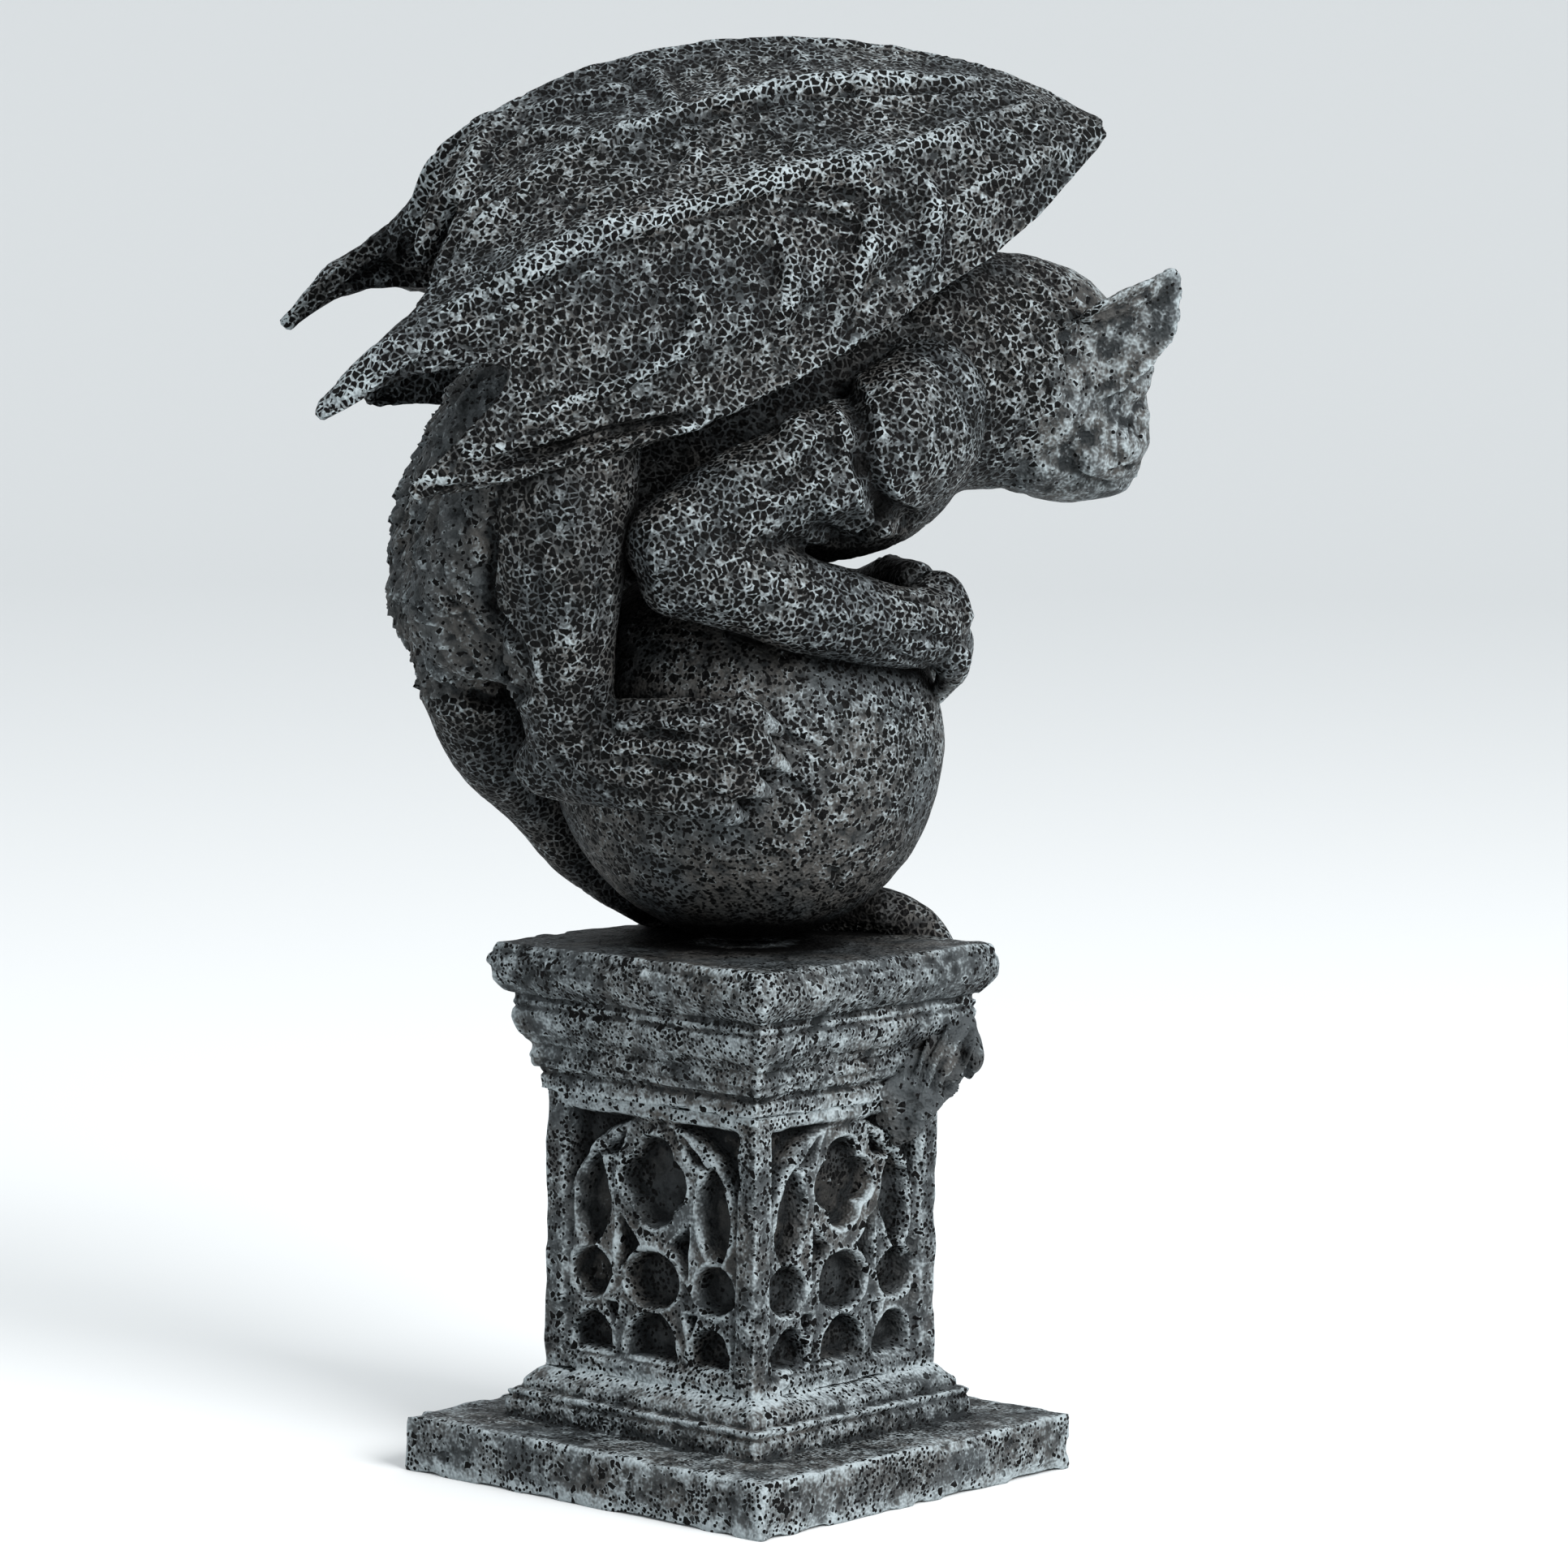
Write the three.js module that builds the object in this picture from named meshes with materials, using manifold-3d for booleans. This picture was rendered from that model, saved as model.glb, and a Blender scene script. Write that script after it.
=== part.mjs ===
// Winged gargoyle crouching on a globe, on a square Gothic plinth, cast in one piece in dark stone.
// Millimetres, +Z up. The origin is the middle of the plinth's underside, and its sides lie along X and Y.
// The figure faces a corner of the plinth, and its wings are folded over its back like a canopy.
import * as THREE from "three";
import { mergeVertices } from "three/addons/utils/BufferGeometryUtils.js";
import Module from "manifold-3d";

// Plinth, from the ground up: the side of each square course and its rise.
const baseSide = 71;
const baseRise = 8.4;
const stepSide = 49.8;
const stepRise = 4.2;
const footRollSide = 47.8;
const footRollRise = 3.6;
const shaftSide = 41.6;
const shaftRise = 41.4;
const bandSide = 43.2;
const bandRise = 3.4;
const beadSide = 45.6;
const beadRise = 3.6;
const ovoloSide = 49.4;
const ovoloRise = 6.7;
const neckSide = 48.6;
const neckRise = 0.9;
const capSide = 52.6;
const capRise = 7.6;
const capRollSide = 54;

// Tracery: one pointed window in each face of the shaft.
const frameWidth = 3.8;
const sillRise = 2.2;
const windowSink = 0.9;
const piercingDepth = 3;

// Globe and its low round seat on the cap.
const globeRadius = 29.2;
const globeSunk = 0.4;
const seatRadius = 14;
const seatRise = 0.8;

// Figure: how far it turns from the X side towards Y, and its length from rump to brow.
const figureTurn = 53;
const figureSpan = 116;
const headTurn = 20;

// Wings.
const wingThick = 2.6;
const farWingLift = 11;

// Tail where it lies on the cap and wraps its corner.
const tailHalf = 3.8;
const tuftHalf = 2.6;

// Heights of the courses.
const stepTop = baseRise + stepRise;
const shaftFoot = stepTop + footRollRise;
const shaftTop = shaftFoot + shaftRise;
const bandTop = shaftTop + bandRise;
const beadTop = bandTop + beadRise;
const ovoloTop = beadTop + ovoloRise;
const neckTop = ovoloTop + neckRise;
const capTop = neckTop + capRise;
const globeMiddle = capTop + seatRise - globeSunk + globeRadius;

// The figure's landmarks below are written in millimetres for a span of 116, and follow figureSpan.
const grow = figureSpan / 116;

const DEG = Math.PI / 180;
const UP = new THREE.Vector3(0, 0, 1);
const FORWARD = new THREE.Vector3(1, 0, 0);

const wasm = await Module();
wasm.setup();

// Solid of a closed geometry, turned outwards if its triangles face in.
function solid(geometry) {
  const bare = geometry.index ? geometry.toNonIndexed() : geometry.clone();
  bare.deleteAttribute("normal");
  bare.deleteAttribute("uv");
  const merged = mergeVertices(bare, 1e-4);
  const triVerts = new Uint32Array(merged.index.array);
  const vertProperties = merged.attributes.position.array;
  if (signedVolume(vertProperties, triVerts) < 0) {
    for (let i = 0; i < triVerts.length; i += 3) {
      [triVerts[i + 1], triVerts[i + 2]] = [triVerts[i + 2], triVerts[i + 1]];
    }
  }
  return new wasm.Manifold(new wasm.Mesh({ numProp: 3, vertProperties, triVerts }));
}

function signedVolume(points, triangles) {
  const [a, b, c] = [new THREE.Vector3(), new THREE.Vector3(), new THREE.Vector3()];
  let sum = 0;
  for (let i = 0; i < triangles.length; i += 3) {
    a.fromArray(points, triangles[i] * 3);
    b.fromArray(points, triangles[i + 1] * 3);
    c.fromArray(points, triangles[i + 2] * 3);
    sum += a.dot(b.cross(c));
  }
  return sum / 6;
}

// Closed skin through rings of points, all with the same count, and a pole at each end.
function skin(rings, startPole, endPole) {
  const count = rings[0].length;
  const points = [startPole, ...rings.flat(), endPole];
  const at = (ring, i) => 1 + ring * count + (i % count);
  const last = points.length - 1;
  const index = [];
  for (let i = 0; i < count; i++) {
    index.push(0, at(0, i + 1), at(0, i));
    index.push(last, at(rings.length - 1, i), at(rings.length - 1, i + 1));
  }
  for (let r = 0; r < rings.length - 1; r++) {
    for (let i = 0; i < count; i++) {
      index.push(at(r, i), at(r, i + 1), at(r + 1, i + 1));
      index.push(at(r, i), at(r + 1, i + 1), at(r + 1, i));
    }
  }
  return new THREE.BufferGeometry().setFromPoints(points).setIndex(index);
}

// A limb: ellipses along a smooth curve. A station is [x, y, z, half across, half deep]. Its ends are round, or flat
// where the rounding is 0, which is for an end that lies inside its neighbour.
function limb(stations, { sides = 7, steps = 1, up = UP, endRound = 0.8, startRound = 0.8 } = {}) {
  const path = new THREE.CatmullRomCurve3(stations.map((s) => new THREE.Vector3(s[0], s[1], s[2])));
  const girth = new THREE.CatmullRomCurve3(
    stations.map((s) => new THREE.Vector3(s[3], s[4] ?? s[3], 0)),
  );
  const total = (stations.length - 1) * steps;
  const frame = (t) => {
    const along = path.getTangent(t);
    const across = new THREE.Vector3().crossVectors(along, up).normalize();
    const deep = new THREE.Vector3().crossVectors(across, along).normalize();
    return { middle: path.getPoint(t), along, across, deep, half: girth.getPoint(t) };
  };
  const ring = (f, shrink, shift) => {
    const points = [];
    for (let i = 0; i < sides; i++) {
      const turn = (2 * Math.PI * i) / sides;
      points.push(
        f.middle
          .clone()
          .addScaledVector(f.along, shift)
          .addScaledVector(f.across, f.half.x * shrink * Math.cos(turn))
          .addScaledVector(f.deep, f.half.y * shrink * Math.sin(turn)),
      );
    }
    return points;
  };
  const rings = [];
  const first = frame(0);
  const final = frame(1);
  const startReach = startRound * first.half.x;
  const endReach = endRound * final.half.x;
  if (startRound > 0) rings.push(ring(first, 0.7, -0.7 * startReach));
  for (let i = 0; i <= total; i++) rings.push(ring(frame(i / total), 1, 0));
  if (endRound > 0) rings.push(ring(final, 0.7, 0.7 * endReach));
  const startPole = first.middle.clone().addScaledVector(first.along, -startReach);
  const endPole = final.middle.clone().addScaledVector(final.along, endReach);
  return skin(rings, startPole, endPole);
}

// Union of geometries that overlap.
function fuse(geometries) {
  return geometries.map(solid).reduce((whole, next) => whole.add(next));
}

// Square courses of the plinth: a skin of square rings through a profile of [half side, height].
function plinthGeometry() {
  const roll = (fromHalf, toHalf, low, high, bulge, parts) => {
    const points = [];
    for (let i = 0; i <= parts; i++) {
      const share = i / parts;
      const half = fromHalf + (toHalf - fromHalf) * share + bulge * Math.sin(Math.PI * share);
      points.push([half, low + (high - low) * share]);
    }
    return points;
  };
  const capHalf = capSide / 2;
  const profile = [
    [baseSide / 2, 0],
    [baseSide / 2, baseRise],
    [stepSide / 2, baseRise],
    [stepSide / 2, stepTop],
    ...roll(footRollSide / 2 - 0.6, shaftSide / 2, stepTop, shaftFoot, (footRollSide - shaftSide) / 6, 3),
    [shaftSide / 2, shaftTop],
    [bandSide / 2, shaftTop],
    [bandSide / 2, bandTop],
    ...roll(beadSide / 2 - 0.5, beadSide / 2 - 0.3, bandTop, beadTop, 0.5, 3),
    ...roll(beadSide / 2, ovoloSide / 2, beadTop, ovoloTop, (ovoloSide - beadSide) / 5, 4),
    [neckSide / 2, ovoloTop],
    [neckSide / 2, neckTop],
    ...roll(neckSide / 2 + 0.8, capHalf, neckTop, capTop, capRollSide / 2 - (capHalf + neckSide / 2) / 2, 6),
  ];
  const corners = [
    [1, 1],
    [-1, 1],
    [-1, -1],
    [1, -1],
  ];
  const rings = profile.map(([half, z]) =>
    corners.map(([x, y]) => new THREE.Vector3(x * half, y * half, z)),
  );
  return skin(rings, new THREE.Vector3(0, 0, 0), new THREE.Vector3(0, 0, capTop));
}

// Openings of one window, drawn across the face (x) and up it (y), from its middle line and its sill.
function windowOpenings() {
  const wide = shaftSide - 2 * frameWidth;
  const tall = shaftRise - 2 * sillRise;
  const half = wide / 2;
  const spring = tall - half * 1.02;
  const openings = [];
  // Corners and curves are given in half widths of the window, from the middle of the arch's springing.
  const polygon = (side, corners) => {
    openings.push(
      new THREE.Shape(corners.map(([x, y]) => new THREE.Vector2(side * half * x, spring + half * y))),
    );
  };
  const round = (x, y, reach, parts) => {
    const circle = new THREE.EllipseCurve(half * x, spring + half * y, half * reach, half * reach);
    openings.push(new THREE.Shape(withoutLast(circle.getPoints(parts))));
  };
  for (const side of [-1, 1]) {
    // Spandrel outside the arch.
    const arch = [];
    for (let i = 0; i <= 3; i++) {
      const turn = (22 + 50 * (i / 3)) * DEG;
      arch.push([Math.cos(turn), Math.sin(turn)]);
    }
    polygon(side, [...arch, [0.97, tall / half - spring / half]]);
    // Almond light beside the foil.
    const almond = new THREE.Shape();
    almond.moveTo(side * half * 0.56, spring + half * 0.58);
    const out = side * half;
    almond.quadraticCurveTo(out * 0.84, spring + half * 0.34, out * 0.84, spring + half * 0.1);
    almond.quadraticCurveTo(out * 0.82, spring - half * 0.08, out * 0.66, spring - half * 0.12);
    almond.quadraticCurveTo(out * 0.44, spring + half * 0.1, out * 0.56, spring + half * 0.58);
    openings.push(new THREE.Shape(withoutLast(almond.getPoints(3))));
    // Small piercings above, under and between the rounds.
    polygon(side, [[0.34, 0.86], [0.62, 0.66], [0.46, 0.66]]);
    polygon(side, [[0.38, 0.1], [0.19, -0.1], [0.38, -0.31]]);
    polygon(side, [[0.43, -0.6], [0.56, -0.7], [0.45, -0.86]]);
    round(side * 0.72, -0.41, 0.215, 8);
    halfLight(openings, side * half * 0.68, half * 0.06, half * 0.21, spring - half * 0.76);
  }
  round(0, -0.44, 0.275, 10);
  halfLight(openings, 0, half * 0.06, half * 0.25, spring - half * 0.84);
  openings.push(foil(0, spring + half * 0.46, half * 0.36));
  return { openings, wide, tall };
}

// A point list without its last point where that repeats the first.
function withoutLast(points) {
  return points.slice(0, -1);
}

// A light with a flat foot and a round head.
function halfLight(openings, x, foot, half, crown) {
  const spring = Math.max(crown - half, foot + half * 0.2);
  const shape = new THREE.Shape();
  shape.moveTo(x - half, foot);
  shape.lineTo(x + half, foot);
  shape.lineTo(x + half, spring);
  shape.absarc(x, spring, half, 0, Math.PI, false);
  openings.push(new THREE.Shape(withoutLast(shape.getPoints(2))));
}

// Four-lobed foil: the radius swells and pinches four times round the circle.
function foil(x, y, radius) {
  const points = [];
  const parts = 16;
  for (let i = 0; i < parts; i++) {
    const turn = (2 * Math.PI * i) / parts;
    const reach = radius * (0.74 + 0.26 * Math.abs(Math.cos(2 * turn)));
    points.push(new THREE.Vector2(x + reach * Math.cos(turn), y + reach * Math.sin(turn)));
  }
  return new THREE.Shape(points);
}

// Cutters of one window, standing on the face that looks along -Y.
function windowCutters() {
  const { openings, wide, tall } = windowOpenings();
  const proud = 1;
  const slab = (shape, depth) => {
    const cutter = new THREE.ExtrudeGeometry(shape, { depth: depth + proud, bevelEnabled: false });
    cutter.rotateX(Math.PI / 2);
    cutter.translate(0, depth - shaftSide / 2, shaftFoot + sillRise);
    return cutter;
  };
  const panel = new THREE.Shape();
  panel.moveTo(-wide / 2, 0);
  panel.lineTo(wide / 2, 0);
  panel.lineTo(wide / 2, tall);
  panel.lineTo(-wide / 2, tall);
  panel.closePath();
  return [slab(panel, windowSink), ...openings.map((shape) => slab(shape, windowSink + piercingDepth))];
}

function plinthSolid() {
  let body = solid(plinthGeometry());
  for (let face = 0; face < 4; face++) {
    for (const cutter of windowCutters()) {
      cutter.rotateZ(face * 90 * DEG);
      body = body.subtract(solid(cutter));
    }
  }
  const seat = new THREE.CylinderGeometry(seatRadius, seatRadius + seatRise, seatRise + 1, 16);
  seat.rotateX(Math.PI / 2);
  seat.translate(0, 0, capTop + (seatRise - 1) / 2);
  return body.add(solid(seat));
}

function globeSolid() {
  const ball = new THREE.SphereGeometry(globeRadius, 20, 12);
  ball.rotateX(Math.PI / 2);
  ball.translate(0, 0, globeMiddle);
  return solid(ball);
}

// Point near the globe, in the figure's frame: turn from straight ahead, height angle, and height above the skin.
function onGlobe(side, turn, rise, off) {
  const reach = globeRadius + off * grow;
  return [
    reach * Math.cos(rise * DEG) * Math.cos(turn * DEG),
    side * reach * Math.cos(rise * DEG) * Math.sin(turn * DEG),
    reach * Math.sin(rise * DEG),
  ];
}

// Landmark of the figure from the globe's middle: ahead, outwards on the given side, and up.
function mark(side, x, y, z, ...half) {
  return [x * grow, side * y * grow, z * grow, ...half.map((h) => h * grow)];
}

// Trunk, rump, neck and head, from behind the globe up over it and forward.
function trunkParts() {
  const trunk = limb(
    [
      mark(1, -42, 0, 8, 7, 6.5),
      mark(1, -41, 0, 17, 13, 10.5),
      mark(1, -38, 0, 30, 15.5, 13.5),
      mark(1, -31, 0, 43, 16, 17),
      mark(1, -19, 0, 49.5, 17, 22.5),
      mark(1, -3, 0, 52, 19, 21),
      mark(1, 13, 0, 51, 19, 20),
      mark(1, 25, 0, 53, 16.5, 17.5),
    ],
    { sides: 10, up: new THREE.Vector3(-0.6, 0, 0.8) },
  );
  const chest = limb(
    [
      mark(1, -6, 0, 36, 14, 9),
      mark(1, 8, 0, 36.5, 15, 10),
      mark(1, 18, 0, 39.5, 14, 10.5),
      mark(1, 25, 0, 45, 12, 10),
    ],
    { sides: 7 },
  );
  const neck = limb(
    [
      mark(1, 14, 0, 52, 16, 17),
      mark(1, 26, 0, 55, 15.5, 18),
      mark(1, 36, 0.5, 55.5, 14.2, 17.8),
      mark(1, 43, 1, 54.4, 13.2, 17.2),
      mark(1, 48.5, 2.5, 51, 11.5, 14.6),
    ],
    { sides: 10, startRound: 0, endRound: 0 },
  );
  return [trunk, chest, neck];
}

// Head pieces in the head's own frame: ahead, to its left, and up, from its middle.
function headParts() {
  const parts = [];
  parts.push(
    limb(
      [
        [-3, 0, 1.5, 11, 13],
        [4, 0, -1, 10.5, 11.5],
        [8.5, 0, -4.6, 8.4, 9],
        [11.5, 0, -7.6, 6.6, 6],
      ],
      { sides: 10, endRound: 0.4 },
    ),
  );
  // Jaw under the muzzle.
  parts.push(
    limb(
      [
        [-5, 0, -8.5, 8.5, 5.5],
        [3, 0, -10.8, 7.8, 4.6],
        [9.6, 0, -11.6, 5.4, 3],
      ],
      { startRound: 0, endRound: 0.5 },
    ),
  );
  // Nose.
  parts.push(
    limb(
      [
        [11, 0, -0.6, 2.2, 2.2],
        [13.4, 0, -4.4, 2.8, 2.4],
      ],
      { sides: 5 },
    ),
  );
  for (const side of [-1, 1]) {
    // Brow ridge, cheek and eyeball.
    parts.push(
      limb(
        [
          [11.2, side * 1.4, 2.4, 2.3, 2],
          [10.2, side * 5, 3.2, 2.5, 2.2],
          [6.6, side * 8.4, 2, 2, 2.2],
        ],
        { sides: 5 },
      ),
    );
    parts.push(
      limb(
        [
          [3, side * 8.4, -5, 3.2, 3.6],
          [8, side * 6.4, -6.6, 3, 3],
        ],
        { sides: 5 },
      ),
    );
    const eye = new THREE.SphereGeometry(2.1, 7, 5);
    eye.translate(8.9, side * 5.8, -1.7);
    parts.push(eye);
  }
  return parts;
}

// Ear: a broad cupped leaf that springs from the side of the head and rises forward to a point.
function earSolid(side) {
  const up = new THREE.Vector3(-0.55, 0, 0.84);
  const leaf = limb(
    [
      [-5, side * 9.5, 4, 3, 8],
      [-0.5, side * 13, 7.5, 2.6, 8.6],
      [5.5, side * 14.8, 12, 2.1, 6.6],
      [9.8, side * 14.6, 16.6, 1.3, 2.6],
    ],
    { sides: 6, up, startRound: 0, endRound: 1.6 },
  );
  const hollow = limb(
    [
      [-1, side * 16.2, 6.4, 2.6, 5.4],
      [3, side * 17, 9.4, 2.6, 5.6],
      [7.6, side * 17, 13.6, 2.2, 3.2],
    ],
    { sides: 5, up, endRound: 1 },
  );
  return solid(leaf).subtract(solid(hollow));
}

function headSolid() {
  const turn = new THREE.Matrix4().makeRotationZ(headTurn * DEG);
  const scale = new THREE.Matrix4().makeScale(grow, grow, grow);
  const seat = new THREE.Matrix4().makeTranslation(46.5 * grow, 1.5 * grow, 51 * grow);
  const place = seat.multiply(turn).multiply(scale);
  const head = fuse(headParts()).add(earSolid(-1)).add(earSolid(1));
  return moved(head, place);
}

// Arm from the shoulder back to the elbow and forward to the hand on the globe.
function armParts(side) {
  const parts = [];
  const m = (...values) => mark(side, ...values);
  parts.push(
    limb([
      m(22, 14, 48.5, 10, 10.5),
      m(19, 20.5, 47, 10, 11),
      m(6.5, 26.5, 42.6, 8, 8.4),
      m(-7, 29, 37.5, 7.4, 7.8),
      m(-18.5, 30.5, 30.6, 7, 7.6),
    ]),
  );
  parts.push(limb([m(16, 17, 40, 5, 5), m(7, 24, 36.5, 4.8, 4.6), m(-3, 27, 33.5, 3.6, 3.6)], { sides: 5 }));
  const wrist = onGlobe(side, 44, 33, 5.2);
  const palm = onGlobe(side, 30, 35, 6.6);
  parts.push(
    limb([
      m(-17, 30.5, 28.8, 7, 7.8),
      m(-8, 30, 26.5, 7, 7.4),
      m(3, 27, 22.5, 6.6, 7),
      [...wrist, 5.4 * grow, 6 * grow],
      [...palm, 5.2 * grow, 6.6 * grow],
    ]),
  );
  // Digits: [turn and rise at the root, at the knuckle and at the tip].
  const digits = [
    [38, 28, 33, 24, 19, 16],
    [30, 33, 22, 28, 13, 14],
    [25, 39, 9, 35, 1, 19],
    [20, 45, -3, 42, -11, 25],
  ];
  for (const [rootTurn, rootRise, turn, rise, tipTurn, tipRise] of digits) {
    parts.push(
      limb(
        [
          [...onGlobe(side, rootTurn, rootRise, 5.5), 3 * grow],
          [...onGlobe(side, turn, rise, 5), 2.8 * grow],
          [...onGlobe(side, tipTurn, tipRise, -0.3), 1 * grow],
        ],
        { sides: 5, startRound: 0, endRound: 0.9 },
      ),
    );
  }
  return parts;
}

// Hind leg: thigh up to the knee, shin down to the heel, and the foot along the globe.
function legParts(side) {
  const parts = [];
  const m = (...values) => mark(side, ...values);
  parts.push(
    limb(
      [m(-40, 8, 20, 11.5, 12.5), m(-39.5, 14, 30, 11.5, 12), m(-36, 21, 40, 10.5), m(-31, 25, 47, 9.6)],
      { up: FORWARD, endRound: 0 },
    ),
  );
  const ankle = onGlobe(side, 150, 4, 6);
  const heel = onGlobe(side, 158, -4, 6.5);
  parts.push(
    limb(
      [
        m(-31, 25.5, 48, 9.4, 9.8),
        m(-32.5, 25.5, 37, 9.8, 10.4),
        m(-33, 24.4, 20, 7.8, 8.4),
        [...ankle, 5.8 * grow, 6.2 * grow],
        [...heel, 4.6 * grow, 5 * grow],
      ],
      { up: FORWARD, endRound: 0.6 },
    ),
  );
  // Sole and instep.
  parts.push(
    limb(
      [
        [...onGlobe(side, 158, -2, 5), 4 * grow, 5.6 * grow],
        [...onGlobe(side, 142, 1, 4.4), 5.2 * grow, 7.6 * grow],
        [...onGlobe(side, 126, 1.6, 3.4), 5 * grow, 8.5 * grow],
        [...onGlobe(side, 112, 1.6, 1.8), 4.4 * grow, 8.6 * grow],
      ],
      { sides: 6, startRound: 0, endRound: 0.5 },
    ),
  );
  // Toes: [turn and rise at the root, at the joint and at the tip].
  const toes = [
    [120, 9.5, 103, 12.6, 93, 9],
    [121, 4, 101.5, 4.8, 91, -1],
    [122, -1.6, 105, -3, 95.5, -8.5],
    [123, -7, 110, -10, 103, -15.5],
  ];
  for (const [rootTurn, rootRise, turn, rise, tipTurn, tipRise] of toes) {
    parts.push(
      limb(
        [
          [...onGlobe(side, rootTurn, rootRise, 5.8), 2.4 * grow],
          [...onGlobe(side, turn, rise, 3.6), 2.5 * grow],
          [...onGlobe(side, tipTurn, tipRise, 0.3), 1.1 * grow],
        ],
        { sides: 5, startRound: 0, endRound: 0.9 },
      ),
    );
  }
  return parts;
}

// Wing ribs from the wrist at the front back to their points: [ahead, outwards, up] from the globe's middle.
const wingWrist = [50, 14, 91.6];
const wingRibs = [
  [
    wingWrist,
    ...[[36, 4, 97.5], [18, -1.6, 101.3], [0, -1.6, 102.3], [-19, -1.6, 99.4]],
    ...[[-34, 0, 93.6], [-45, 4, 85], [-50, 9, 70]],
  ],
  [
    wingWrist,
    ...[[38, 13.4, 94], [13, 13.4, 96.5], [-8, 14.5, 93.5], [-28, 16.5, 87.5]],
    ...[[-40, 19.5, 78.5], [-48, 22, 69], [-52, 24, 60]],
  ],
  [
    wingWrist,
    ...[[34, 19, 90.4], [9, 26, 85.7], [-14, 29.5, 80], [-36, 32, 72]],
    ...[[-49, 32, 62.5], [-60, 31, 57], [-69, 30, 48]],
  ],
  [
    wingWrist,
    ...[[36, 20.5, 86], [15, 28.5, 75.5], [-8, 32.5, 64.5], [-27, 34, 55]],
    ...[[-40, 33.6, 48.5], [-49, 32.6, 43], [-56, 31, 39.6]],
  ],
  [
    wingWrist,
    ...[[40, 18, 81.6], [28, 22, 71.8], [13, 28, 62.2], [-10, 32.2, 50.2]],
    ...[[-26, 33.6, 44.4], [-42, 33, 40.4], [-55, 31, 38]],
  ],
];
// How far the skin between two ribs sinks, and how far its rear edge is cut back, as a share of its length.
const webSink = [1.6, 2.2, 2.2, 1.2];
const webCut = [0.16, 0.14, 0.3, 0.05];

function wingGeometry(side, lift) {
  const curves = wingRibs.map((rib) => new THREE.CatmullRomCurve3(rib.map((p) => new THREE.Vector3(...p))));
  const parts = 3;
  const steps = 8;
  const width = (curves.length - 1) * parts;
  const inward = new THREE.Vector3(-6, 6, 60);
  const point = (row, column) => {
    const web = Math.min(Math.floor(column / parts), webSink.length - 1);
    const share = column / parts - web;
    const bow = 4 * share * (1 - share);
    const t = (row / steps) * (1 - webCut[web] * bow * (row / steps) ** 2);
    const p = curves[web].getPoint(t).lerp(curves[web + 1].getPoint(t), share);
    const sink = webSink[web] * bow * Math.min(1, 3 * t);
    p.addScaledVector(inward.clone().sub(p).normalize(), sink);
    const rear = THREE.MathUtils.smoothstep(-p.x, -10, 65) * THREE.MathUtils.smoothstep(p.y, 0, 24);
    return new THREE.Vector3(p.x + 0.3 * lift * rear, side * p.y, p.z + lift * rear).multiplyScalar(grow);
  };
  const outer = [];
  for (let row = 1; row <= steps; row++) {
    const line = [];
    for (let column = 0; column <= width; column++) line.push(point(row, column));
    outer.push(line);
  }
  const inner = outer.map((line, row) =>
    line.map((p, column) => {
      const before = outer[Math.max(row - 1, 0)][column];
      const after = outer[Math.min(row + 1, outer.length - 1)][column];
      const left = line[Math.max(column - 1, 0)];
      const right = line[Math.min(column + 1, width)];
      const along = after.clone().sub(before);
      const across = right.clone().sub(left);
      const normal = along.cross(across).normalize().multiplyScalar(side);
      return p.clone().addScaledVector(normal, -wingThick);
    }),
  );
  // Rings run out along the outer face and back along the inner one, from the wrist to the rear edge.
  const rings = outer.map((line, row) => [...line, ...inner[row].slice().reverse()]);
  const wrist = new THREE.Vector3(wingWrist[0], side * wingWrist[1], wingWrist[2]).multiplyScalar(grow);
  return { rings, wrist };
}

// The wing as a closed shell: its rear edge is a strip between the two faces.
function wingShell(side, lift) {
  const { rings, wrist } = wingGeometry(side, lift);
  const count = rings[0].length;
  const points = [wrist, ...rings.flat()];
  const at = (ring, i) => 1 + ring * count + (i % count);
  const index = [];
  for (let i = 0; i < count; i++) index.push(0, at(0, i + 1), at(0, i));
  for (let r = 0; r < rings.length - 1; r++) {
    for (let i = 0; i < count; i++) {
      index.push(at(r, i), at(r, i + 1), at(r + 1, i + 1));
      index.push(at(r, i), at(r + 1, i + 1), at(r + 1, i));
    }
  }
  const last = rings.length - 1;
  for (let i = 0; i < count / 2 - 1; i++) {
    const back = count - 1 - i;
    index.push(at(last, i), at(last, i + 1), at(last, back - 1));
    index.push(at(last, i), at(last, back - 1), at(last, back));
  }
  return new THREE.BufferGeometry().setFromPoints(points).setIndex(index);
}

// Bone from the shoulder blade up to the wrist of the wing, which carries the canopy.
function wingBone(side) {
  const m = (...values) => mark(side, ...values);
  return limb(
    [
      m(-14, 8, 68, 11, 12),
      m(4, 9, 75, 11, 12),
      m(22, 10, 82, 8.5, 9),
      m(38, 12.5, 87, 4.5),
      m(47, 13.6, 90, 2.4),
    ],
    { sides: 6, startRound: 0, endRound: 0 },
  );
}

function figureSolid() {
  const parts = [...trunkParts(), wingShell(-1, 0), wingShell(1, farWingLift)];
  for (const side of [-1, 1]) parts.push(...armParts(side), ...legParts(side), wingBone(side));
  const place = new THREE.Matrix4()
    .makeTranslation(0, 0, globeMiddle)
    .multiply(new THREE.Matrix4().makeRotationZ(figureTurn * DEG));
  const body = fuse(parts).add(headSolid());
  return moved(body, place);
}

// A solid carried by a matrix.
function moved(body, matrix) {
  return solid(geometryOf(body).applyMatrix4(matrix));
}

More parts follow.
